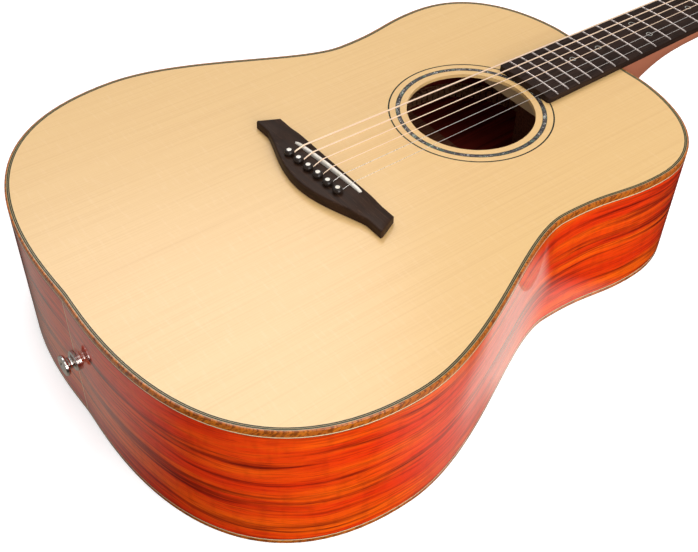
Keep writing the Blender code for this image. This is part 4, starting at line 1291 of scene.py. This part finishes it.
class GUITAR_OT_inside(bpy.types.Operator):
    """Line the edges with kerfed strips and finish the braces, blocks and rod"""
    bl_idname = "guitar.inside"
    bl_label = "Linings and braces"
    BACKING = 1.4 * MM

    def execute(self, context):
        finish = lining_wood()
        tree = kerf_tree(finish)
        inset = SIDE_T + GAP
        high = -TOP_T - GAP
        jobs = (("top_kerfed_lining", on_top(high), on_top(high - TOP_LINING_H), TOP_LINING_H, ROD_GAP_X),
                ("back_kerfed_lining", on_back(BACK_T + GAP + BACK_LINING_H), on_back(BACK_T + GAP),
                 BACK_LINING_H, 0.0))
        for name, top, low, height, gap in jobs:
            backing = edge_strip([(inset, low), (inset, top), (inset + self.BACKING, top),
                                  (inset + self.BACKING, low)], gap)
            thick = LINING_W - self.BACKING
            middle = rim(inset + self.BACKING + thick / 2, gap)
            line = [(x, y, (top(y) + low(y)) / 2) for x, y in middle]
            values = {"Pitch": trim().kerf_pitch, "Kerf": trim().kerf_gap, "Thickness": thick,
                      "Height": height}
            blocks = grown(polyline(line, closed=not gap), tree, values)
            mesh = combine([(backing, finish), (blocks, finish)])
            piece(name, mesh, finish, nodes=[name.replace("_kerfed", "")], smooth=30)
        refinish(brace_wood(), "x_brace_bass", "x_brace_treble", "upper_brace", "tone_bar_upper",
                 "tone_bar_lower")
        refinish(block_wood(), "neck_block", "tail_block", "bridge_plate", "back_brace_1", "back_brace_2",
                 "back_brace_3", "back_brace_4")
        refinish(steel(), "truss_rod", "truss_rod_nut")
        return {"FINISHED"}


class GUITAR_OT_bridge(bpy.types.Operator):
    """Carve the bridge, set the saddle and push in the pins"""
    bl_idname = "guitar.bridge"
    bl_label = "Bridge"

    def execute(self, context):
        slot = self.saddle_mesh(GAP, square=True)
        body = carved(self.body(), [slot] + pin_tools(24))
        wood = material("bridge_wood", bridge_recipe)
        piece("bridge_body", body, wood, nodes=["bridge"], smooth=32)
        saddle = self.saddle_mesh(0.0, square=False)
        piece("saddle_bar", saddle, polished_bone(), nodes=["saddle"], smooth=50)
        for i, x, y in pin_places():
            place = TO_WORLD @ Matrix.Translation((x, y, BRIDGE_TOP + GAP))
            name = f"pin_and_dot_{i + 1}"
            piece(name, self.pin(), None, body=f"pin_{i + 1}", nodes=[f"bridge_pin_{i + 1}"],
                  place=place)
        return {"FINISHED"}

    @staticmethod
    def section(x):
        """Front and back edges and height of the bridge at a place along its length."""
        off = abs(x)
        end = max(0.0, (off - BRIDGE_HALF_FRONT) / (BRIDGE_HALF_BACK - BRIDGE_HALF_FRONT))
        front = BRIDGE_FRONT_Y + end * (BRIDGE_BACK_Y + 2 * MM - BRIDGE_FRONT_Y)
        wave = 0.5 + 0.5 * math.cos(math.pi * min(off / (62 * MM), 1.0))
        back = BRIDGE_BACK_Y - BRIDGE_BELLY * wave ** 0.6
        rise = min(max((58 * MM - off) / (16 * MM), 0.0), 1.0)
        return front, back, WING_H + (BRIDGE_H - WING_H) * rise * rise * (3 - 2 * rise)

    def body(self):
        steps = 72
        sections = []
        for k in range(-steps, steps + 1):
            x = BRIDGE_HALF_BACK * k / steps
            front, back, height = self.section(x)
            low, high, edge = GAP, GAP + height, 1.3 * MM
            arc = [math.radians(a) for a in (0, 30, 60, 90)]
            near = [(x, front - edge + edge * math.cos(a), high - edge + edge * math.sin(a)) for a in arc]
            far = [(x, back + edge - edge * math.sin(a), high - edge + edge * math.cos(a)) for a in arc]
            sections.append([(x, front, low)] + near + far + [(x, back, low)])
        return loft(sections)

    @staticmethod
    def saddle_mesh(grow, square):
        """The saddle, round at its ends and over its crown, or the square-topped slot that it stands in."""
        reach, half = SADDLE_HALF + grow, SADDLE_HALF_T + grow
        flat = reach - half
        xs = [flat + half * math.sin(math.radians(a)) for a in (85, 65, 45, 25, 0)]
        xs = xs + [flat * k / 12 for k in range(11, -12, -1)] + [-x for x in reversed(xs)]
        low = BRIDGE_TOP - SADDLE_SLOT - grow
        sections = []
        for x in xs:
            over = max(0.0, abs(x) - flat)
            thick = math.sqrt(max(half * half - over * over, 1e-9))
            drop = max(0.0, abs(x) - 31 * MM) / (6 * MM)
            top = string_height(x, SADDLE_Y) - 0.25 * MM - min(drop * drop, 1.0) * 1.0 * MM
            if square:
                sections.append([(x, -thick, low), (x, thick, low), (x, thick, 0.02), (x, -thick, 0.02)])
                continue
            arc = [math.radians(a) for a in (0, 25, 50, 70, 90, 110, 130, 155, 180)]
            crown = [(x, thick * math.cos(a), top - thick + thick * math.sin(a)) for a in arc]
            sections.append([(x, -thick, low), (x, thick, low)] + crown)
        mesh = loft(sections)
        turn = Matrix.Rotation(math.atan(SADDLE_SLANT), 4, "Z")
        return moved(mesh, Matrix.Translation((0, SADDLE_Y, 0)) @ turn)

    @staticmethod
    def pin():
        head = through([(0.01, 4.2), (1.8, 4.12), (2.9, 3.65), (3.65, 2.75), (3.9, 1.8), (3.75, 1.0),
                        (3.4, 0.35), (3.3, 0)], 3)
        end = (PIN_END_Z - BRIDGE_TOP - GAP) / MM
        shaft = [(2.55, 0), (2.5, -1), (1.9, end + 2), (1.6, end + 0.6), (0.9, end), (0, end)]
        black = lathe([(0, 4.2)] + head[1:] + shaft, 32)
        dot = lathe([(0, 4.36), (1.2, 4.33), (1.75, 4.22), (1.85, 3.8), (0, 3.8)], 24)
        pearl = material("pin_pearl", bone_recipe)
        return combine([(black, material("polished_black", polished_black_recipe)), (dot, pearl)])


class GUITAR_OT_fingerboard(bpy.types.Operator):
    """Shape the fingerboard, press in its frets and inlay the rings"""
    bl_idname = "guitar.fingerboard"
    bl_label = "Fingerboard"
    CORNER = 2.5 * MM

    def execute(self, context):
        board = self.board()
        places = self.inlay_places()
        radius, width = trim().inlay_radius, trim().inlay_width
        loops = [circle(radius, 0, 0, 40), circle(radius - width, 0, 0, 40)]
        grooves = [moved(plate(loops, -0.6 * MM, 2 * MM), Matrix.Translation(place)) for place in places]
        board = carved(board, grooves)
        wood = material("fingerboard_wood", board_recipe)
        piece("finger_board", board, wood, nodes=["fingerboard"], smooth=35)
        self.frets()
        unit = plate(loops, -0.55 * MM, 0.05 * MM)
        rings = repeated(unit, places, material("inlay_shell", shell_line_recipe))
        piece("ring_inlays", rings, None, smooth=30)
        return {"FINISHED"}

    @staticmethod
    def inlay_places():
        places = []
        for fret, x in RING_INLAY_FRETS:
            y = (fret_y(fret) + fret_y(fret - 1)) / 2
            places.append((x * MM, y, BOARD_TOP - (x * MM) ** 2 / (2 * BOARD_RADIUS)))
        return places

    def board(self):
        corner = self.CORNER
        stations = [(NUT_Y - GAP, 0.0)]
        stations += [(NUT_Y - GAP - k * (NUT_Y - BOARD_END_Y) / 24, 0.0) for k in range(1, 24)]
        for a in (0, 22.5, 45, 67.5, 84):
            turn = math.radians(a)
            stations.append((BOARD_END_Y + corner * (1 - math.sin(turn)), corner * (1 - math.cos(turn))))
        sections = []
        for y, pull in stations:
            half = board_half(y) - pull
            xs = [half * (1 - 2 * k / 12) for k in range(13)]
            top = [(x, y, BOARD_TOP - x * x / (2 * BOARD_RADIUS)) for x in xs]
            ease = 0.35 * MM
            top[0] = (half, y, top[0][2] - ease)
            top.insert(1, (half - ease, y, top[0][2] + ease))
            top[-1] = (-half, y, top[-1][2] - ease)
            top.insert(-1, (-half + ease, y, top[-1][2] + ease))
            sections.append(top + [(-half, y, GAP), (half, y, GAP)])
        return loft(sections)

    def frets(self):
        width, height = trim().fret_width / 2, trim().fret_height
        arc = [math.radians(a) for a in range(0, 181, 30)]
        sections = []
        for x, share in ((-1, 0.25), (-0.985, 0.62), (-0.96, 0.9), (-0.92, 1), (-0.5, 1), (0, 1), (0.5, 1),
                         (0.92, 1), (0.96, 0.9), (0.985, 0.62), (1, 0.25)):
            wide, tall = width * (0.55 + 0.45 * share), height * share
            crown = [(x, wide * math.cos(a), tall * math.sin(a) + 0.02 * MM) for a in arc]
            sections.append(crown + [(x, -0.3 * MM, -0.8 * MM), (x, 0.3 * MM, -0.8 * MM)])
        finish = fret_metal()
        values = {"Frets": trim().fret_count, "Scale Length": SCALE_LENGTH, "Nut Y": NUT_Y,
                  "Half At Nut": BOARD_NUT_HALF - 0.4 * MM, "Half At Body": BOARD_BODY_HALF - 0.4 * MM,
                  "Board Radius": BOARD_RADIUS, "Board Top": BOARD_TOP}
        mesh = grown(loft(sections), fret_tree(finish), values)
        piece("fret_wires", mesh, None, smooth=40)


def shell_line_recipe(bench):
    """Pale shell in thin lines."""
    x, y, z = bench.place()
    cloud = bench.noise(x * 900, y * 900, z * 900, 3.0)
    tone = bench.mix(bench.ease(cloud, 0.35, 0.7), (0.62, 0.60, 0.52), (0.36, 0.40, 0.38))
    return {"Base Color": tone, "Roughness": bench.ease(cloud, 0.3, 0.8, 0.2, 0.32), "Coat Weight": 0.3}


class GUITAR_OT_neck(bpy.types.Operator):
    """Carve the neck, heel and head from one blank and fit the nut and the head's face"""
    bl_idname = "guitar.neck"
    bl_label = "Neck and head"

    def execute(self, context):
        wood = material("neck_wood", neck_recipe)
        blade = bevelled(plate([self.head_outline(-10)], HEAD_BACK + GAP, -VENEER_T - GAP), 1.2 * MM, 3)
        neck = carved(self.shaft(), [moved(blade, HEAD)], "UNION")
        room = ROD_R + 0.4 * MM
        channel = box((-room, -0.02, ROD_Z - room), (room, NUT_Y - 12 * MM, 0.01))
        tools = [channel] + [moved(self.post_hole(x, y), HEAD) for _, _, x, y in post_places()]
        neck = carved(neck, tools)
        piece("neck_and_heel", neck, wood, nodes=["neck"], smooth=38)
        face = plate([self.head_outline(1)], -VENEER_T, 0)
        face = bevelled(face, 0.5 * MM, 2, 60)
        face = carved(face, [self.post_hole(x, y) for _, _, x, y in post_places()])
        piece("head_face_veneer", face, material("fingerboard_wood", board_recipe),
              nodes=["headstock_veneer"], place=HEAD_TO_WORLD, smooth=35)
        piece("bone_nut", self.nut(), polished_bone(), nodes=["nut"], smooth=40)
        return {"FINISHED"}

    @staticmethod
    def post_hole(x, y):
        return cylinder(POST_HOLE_R, -0.03, 0.01, x, y, 28)

    @staticmethod
    def head_outline(start):
        right = [(23, start), (25.5, 14), (28.6, 21), (30.5, 27), (31.8, 35), (32.5, 45), (34.4, 90),
                 (36, 130), (37, 158), (36.6, 161.5), (35, 164)]
        right = [(x * MM, y * MM) for x, y in right]
        top = [(28 * MM, 165.8 * MM), (20 * MM, HEAD_LENGTH - MM), (10 * MM, 167.8 * MM), (0, HEAD_LENGTH)]
        return right + top + [(-x, y) for x, y in list(reversed(top[:-1])) + list(reversed(right))]

    def shaft(self):
        """The underside of the neck, from the round of the shaft to the tall heel."""
        stations = ((NUT_Y + NUT[0], 17.5, 0), (NUT_Y - 8 * MM, 16, 0), (NUT_Y - 25 * MM, 15, 0),
                    (0.2, 16, 0), (0.1, 17.5, 0), (0.075, 19, 0.05), (0.056, 24, 0.2), (0.04, 34, 0.45),
                    (0.026, 48, 0.7), (0.013, 67, 0.9), (0.004, 82, 1),
                    (NECK_END_Y + GAP, HEEL_DEPTH / MM, 1))
        line = through(stations, 5)
        near, far = through(SHAFT_SHAPE, 4), through(HEEL_SHAPE, 4)
        sections = []
        for y, depth, heel in line:
            half = board_half(y)
            heel = min(max(heel, 0.0), 1.0)
            right = [(half * min(x0 + heel * (x1 - x0), 1.0), y, -depth * MM * (z0 + heel * (z1 - z0)))
                     for (x0, z0), (x1, z1) in zip(near, far)]
            sections.append(right + [(-x, v, z) for x, v, z in reversed(right[:-1])])
        return loft(sections)

    @staticmethod
    def nut():
        half, (thick, height) = BOARD_NUT_HALF, NUT
        profile = ((0, GAP), (0, height - 0.5 * MM), (0.5 * MM, height - 0.1 * MM), (1.4 * MM, height),
                   (3.4 * MM, height - 0.5 * MM), (4.6 * MM, height - 1.5 * MM),
                   (thick, height - 2.4 * MM), (thick, GAP))
        sections = []
        for k in range(17):
            x = half * (1 - 2 * k / 16)
            fall = x * x / (2 * BOARD_RADIUS)
            sections.append([(x, NUT_Y + y, z - fall if z > GAP else z) for y, z in profile])
        slots = []
        for i, gauge in enumerate(STRING_GAUGES):
            x = (i - 2.5) * NUT_PITCH
            room = gauge / 2 + 0.08 * MM
            floor = string_height(x, NUT_Y) - 0.05 * MM
            slots.append(box((x - room, NUT_Y - MM, floor), (x + room, NUT_Y + thick + MM, 0.02)))
        return carved(bevelled(loft(sections), 0.3 * MM, 2, 60), slots)


class GUITAR_OT_tuners(bpy.types.Operator):
    """Fit the six geared tuners with their bushings, washers and screws"""
    bl_idname = "guitar.tuners"
    bl_label = "Tuners"

    def execute(self, context):
        finish = nickel()
        for i, side, x, y in post_places():
            n = i + 1
            housing = self.housing(side, x, y)
            piece(f"gear_housing_{n}", housing, finish, nodes=[f"tuner_housing_{n}"],
                  place=HEAD_TO_WORLD, smooth=40)
            post = moved(self.post(), Matrix.Translation((x, y, 0)))
            piece(f"string_post_{n}", post, finish, body=f"post_{n}", nodes=[f"tuner_post_{n}"],
                  place=HEAD_TO_WORLD)
            knob = moved(self.knob(), self.shaft_place(side, x, y))
            piece(f"tuning_button_{n}", knob, finish, body=f"knob_{n}", nodes=[f"tuner_knob_{n}"],
                  place=HEAD_TO_WORLD)
        places = [(x, y, 0.0) for _, _, x, y in post_places()]
        piece("post_bushings", repeated(self.bushing(), places, finish), None, place=HEAD_TO_WORLD)
        low = HEAD_BACK - 0.2 * MM
        spots = [(x, y - WORM_OFFSET / 2 + reach, low) for _, _, x, y in post_places() for reach in LUGS]
        piece("housing_screws", repeated(self.screw(), spots, finish), None, place=HEAD_TO_WORLD)
        return {"FINISHED"}

    @staticmethod
    def shaft_place(side, x, y):
        return turned((x, y - WORM_OFFSET, HEAD_BACK - SHAFT_DROP), "Y", side * QUARTER)

    def housing(self, side, x, y):
        """A cast shell open to the head, with two lugs for its screws."""
        width, tall, depth = HOUSING
        middle = y - WORM_OFFSET / 2
        low = (x - width / 2, middle - tall / 2, HEAD_BACK - depth)
        high = (x + width / 2, middle + tall / 2, HEAD_BACK)
        body = box(low, high)
        foot = HEAD_BACK - LUG_T
        lugs = [cylinder(LUG_R, foot, HEAD_BACK, x, middle + reach, 20) for reach in LUGS]
        plates = [box((x - LUG_R, min(middle, middle + reach), foot),
                      (x + LUG_R, max(middle, middle + reach), HEAD_BACK)) for reach in LUGS]
        body = bevelled(body, 2.2 * MM, 4)
        body = carved(body, lugs + plates, "UNION")
        wall = HOUSING_WALL
        room = box([edge + wall for edge in low], (high[0] - wall, high[1] - wall, high[2] + MM))
        bore = moved(cylinder(2.5 * MM, 0, 0.02), self.shaft_place(side, x, y))
        holes = [cylinder(1.0 * MM, HEAD_BACK - 3 * MM, HEAD_BACK + MM, x, middle + reach, 16)
                 for reach in LUGS]
        return carved(body, [room, bore] + holes)

    @staticmethod
    def post():
        gear_low = (HEAD_BACK - SHAFT_DROP) / MM - 1.6
        waist = through([(3.0, 13.2), (2.75, 11.8), (2.62, 10.2), (2.72, 8.6), (3.0, 7.2)], 4)
        profile = [(0, 18.5), (2.3, 18.5), (2.75, 18.3), (3.0, 17.9)] + waist
        profile += [(3.0, gear_low + 3.2), (4.6, gear_low + 3.2), (4.6, gear_low), (0, gear_low)]
        hole = moved(cylinder(0.9 * MM, -0.01, 0.01, steps=16), turned((0, 0, POST_EYE_Z), "X"))
        return carved(lathe(profile, 32), [hole])

    @staticmethod
    def knob():
        reach = (KNOB_OUT - KNOB[0]) / MM
        shaft = lathe([(0, reach + 2), (1.9, reach + 2), (1.9, reach), (2.6, reach - 0.6), (2.6, reach - 2.2),
                       (1.9, reach - 3.0), (1.9, 7.2), (2.2, 6.6), (2.2, -5.5), (0, -5.5)], 24)
        rows = []
        for level, share in ((-1, 0.0), (-1, 0.72), (-0.55, 0.97), (0.55, 0.97), (1, 0.72), (1, 0.0)):
            row = []
            for k in range(20):
                angle = math.tau * k / 20
                pinch = 1 - 0.10 * math.exp(-((math.cos(angle) + 1) / 0.25) ** 2)
                row.append((KNOB[0] * math.cos(angle) * share * pinch, KNOB[1] * math.sin(angle) * share,
                            KNOB[2] * level * (1.0 if share else 0.86)))
            rows.append(row)
        vertices = [point for row in rows for point in row]
        faces = [(r * 20 + k, r * 20 + (k + 1) % 20, (r + 1) * 20 + (k + 1) % 20, (r + 1) * 20 + k)
                 for r in range(5) for k in range(20)]
        button = subdivided(new_mesh("button", vertices, faces), 2)
        return carved(shaft, [moved(button, turned((0, 0, KNOB_OUT), "Y"))], "UNION")

    @staticmethod
    def bushing():
        """A flanged collar round the post, with a washer under it."""
        return lathe([(3.3, 2.3), (4.3, 2.3), (4.9, 1.9), (5.0, 0.9), (6.6, 0.75), (6.8, 0.45), (6.8, 0.05),
                      (3.95, 0.05), (3.95, -8), (3.3, -8), (3.3, 2.3)], 32)

    @staticmethod
    def screw():
        head = lathe([(0, -1.9), (1.0, -1.8), (1.7, -1.35), (1.9, -1.05), (0.9, -1.05), (0.9, 6), (0, 8)], 20)
        cross = [box((-1.3 * MM, -0.2 * MM, -3 * MM), (1.3 * MM, 0.2 * MM, -1.45 * MM)),
                 box((-0.2 * MM, -1.3 * MM, -3 * MM), (0.2 * MM, 1.3 * MM, -1.45 * MM))]
        return carved(head, cross)


class GUITAR_OT_strings(bpy.types.Operator):
    """Run the strings from their pins over the saddle and the nut to their posts"""
    bl_idname = "guitar.strings"
    bl_label = "Strings"
    WRAPS = 2.4

    def execute(self, context):
        wound, plain = string_tree(bronze()), string_tree(steel())
        pins = list(pin_places())
        for i, side, post_x, post_y in post_places():
            gauge = STRING_GAUGES[i]
            line = self.route(i, side, post_x, post_y, pins[i])
            core = i < 4
            values = {"Radius": gauge / 2, "Pitch": max(gauge * 0.36, 0.26 * MM) if core else 3 * MM,
                      "Ridge": trim().ridge if core else 0.0, "Sides": 8}
            mesh = grown(polyline(line), wound if core else plain, values)
            piece(f"tuned_string_{i + 1}", mesh, None,
                  nodes=[f"string_{i + 1}"], smooth=60)
        return {"FINISHED"}

    def route(self, i, side, post_x, post_y, pin):
        radius = STRING_GAUGES[i] / 2
        _, x, y = pin
        saddle_y = SADDLE_Y + SADDLE_SLANT * x
        over = string_height(x, SADDLE_Y) + radius - 0.2 * MM
        nut_x = (i - 2.5) * NUT_PITCH
        over_nut = string_height(nut_x, NUT_Y) + radius
        rise = through([(x, y + 3.5 * MM, STRING_END_Z), (x, y + 3.5 * MM, BRIDGE_TOP - 3.4 * MM),
                        (x, y + 4.1 * MM, BRIDGE_TOP - 0.9 * MM), (x, y + 5.9 * MM, BRIDGE_TOP + 0.5 * MM),
                        (x, saddle_y - 1.5 * MM, over - 0.35 * MM)], 6)
        crest = through([(x, saddle_y - 1.5 * MM, over - 0.35 * MM), (x, saddle_y - 0.5 * MM, over),
                         (x, saddle_y + 0.6 * MM, over + 0.05 * MM)], 3)
        line = rise[:-1] + crest + [(nut_x, NUT_Y, over_nut), (nut_x, NUT_Y + 1.5 * MM, over_nut),
                                    (nut_x, NUT_Y + 3.4 * MM, over_nut - 0.4 * MM),
                                    (nut_x, NUT_Y + 5.2 * MM, over_nut - 1.2 * MM)]
        return line + [tuple(HEAD @ Vector(p)) for p in self.wraps(i, side, post_x, post_y)]

    def wraps(self, i, side, x, y):
        """Turns round the post, down from the string's hole, and then the end going into the hole."""
        steps, gauge = 24, STRING_GAUGES[i]
        radius = 2.85 * MM + gauge / 2
        start = math.pi if side > 0 else 0.0
        pitch = gauge * 1.04
        total = int(self.WRAPS * steps)
        low = 9.0 * MM
        points = []
        for k in range(total + 1):
            angle = start - side * math.tau * k / steps
            grow = 0.25 * MM * abs(k / total - 0.5)
            points.append((x + (radius + grow) * math.cos(angle), y + (radius + grow) * math.sin(angle),
                           low + pitch * k / steps))
        last = points[-1]
        points.append((x + (last[0] - x) * 0.9, y + (last[1] - y) * 0.9, last[2] + 1.2 * MM))
        points.append((x, y, POST_EYE_Z))
        return points


class GUITAR_OT_endpin(bpy.types.Operator):
    """Turn the endpin with its socket"""
    bl_idname = "guitar.endpin"
    bl_label = "Endpin"

    def execute(self, context):
        collar = through([(7.5, 9.7), (7.5, 7.9), (6.6, 7.0), (4.6, 6.1), (4.6, 3.6), (6.4, 3.0),
                          (7.5, 2.0)], 4)
        profile = [(0, -16), (3.2, -16), (3.2, 9.6), (3.6, 10.3), (4.0, 10.5), (6.5, 10.5), (7.2, 10.25)]
        profile += collar + [(7.5, 0.3), (6.0, 0.3), (6.0, -30), (0, -30)]
        mesh = moved(lathe(profile, 56), turned((0, TAIL_Y, JACK_Z), "X"))
        piece("turned_endpin", mesh, nickel(), nodes=["endpin_jack"], smooth=35)
        return {"FINISHED"}


class GUITAR_PT_maker(bpy.types.Panel):
    """Lists the steps of the build and the sizes and colours that they use"""
    bl_label = "Flat-top guitar"
    bl_space_type = "VIEW_3D"
    bl_region_type = "UI"
    bl_category = "Guitar"

    def draw(self, context):
        for step in STEPS:
            self.layout.operator(step.bl_idname)
        for group in (context.scene.guitar_colours, context.scene.guitar_trim, context.scene.guitar_studio):
            column = self.layout.column(align=True)
            for key in group.__annotations__:
                column.prop(group, key)


STEPS = (GUITAR_OT_stage, GUITAR_OT_top, GUITAR_OT_rosette, GUITAR_OT_edges, GUITAR_OT_sides, GUITAR_OT_back,
         GUITAR_OT_inside, GUITAR_OT_bridge, GUITAR_OT_fingerboard, GUITAR_OT_neck, GUITAR_OT_tuners,
         GUITAR_OT_strings, GUITAR_OT_endpin)
GROUPS = (("guitar_colours", GuitarColours), ("guitar_trim", GuitarTrim), ("guitar_studio", GuitarStudio))


def register():
    for name, group in GROUPS:
        bpy.utils.register_class(group)
        setattr(bpy.types.Scene, name, PointerProperty(type=group))
    for step in STEPS:
        bpy.utils.register_class(step)
    bpy.utils.register_class(GUITAR_PT_maker)


def unregister():
    bpy.utils.unregister_class(GUITAR_PT_maker)
    for step in reversed(STEPS):
        bpy.utils.unregister_class(step)
    for name, group in reversed(GROUPS):
        delattr(bpy.types.Scene, name)
        bpy.utils.unregister_class(group)


def main():
    register()
    for step in STEPS:
        family, action = step.bl_idname.split(".")
        result = getattr(getattr(bpy.ops, family), action)()
        if result != {"FINISHED"}:
            raise RuntimeError(f"{step.bl_label} did not finish")


if __name__ == "__main__":
    main()
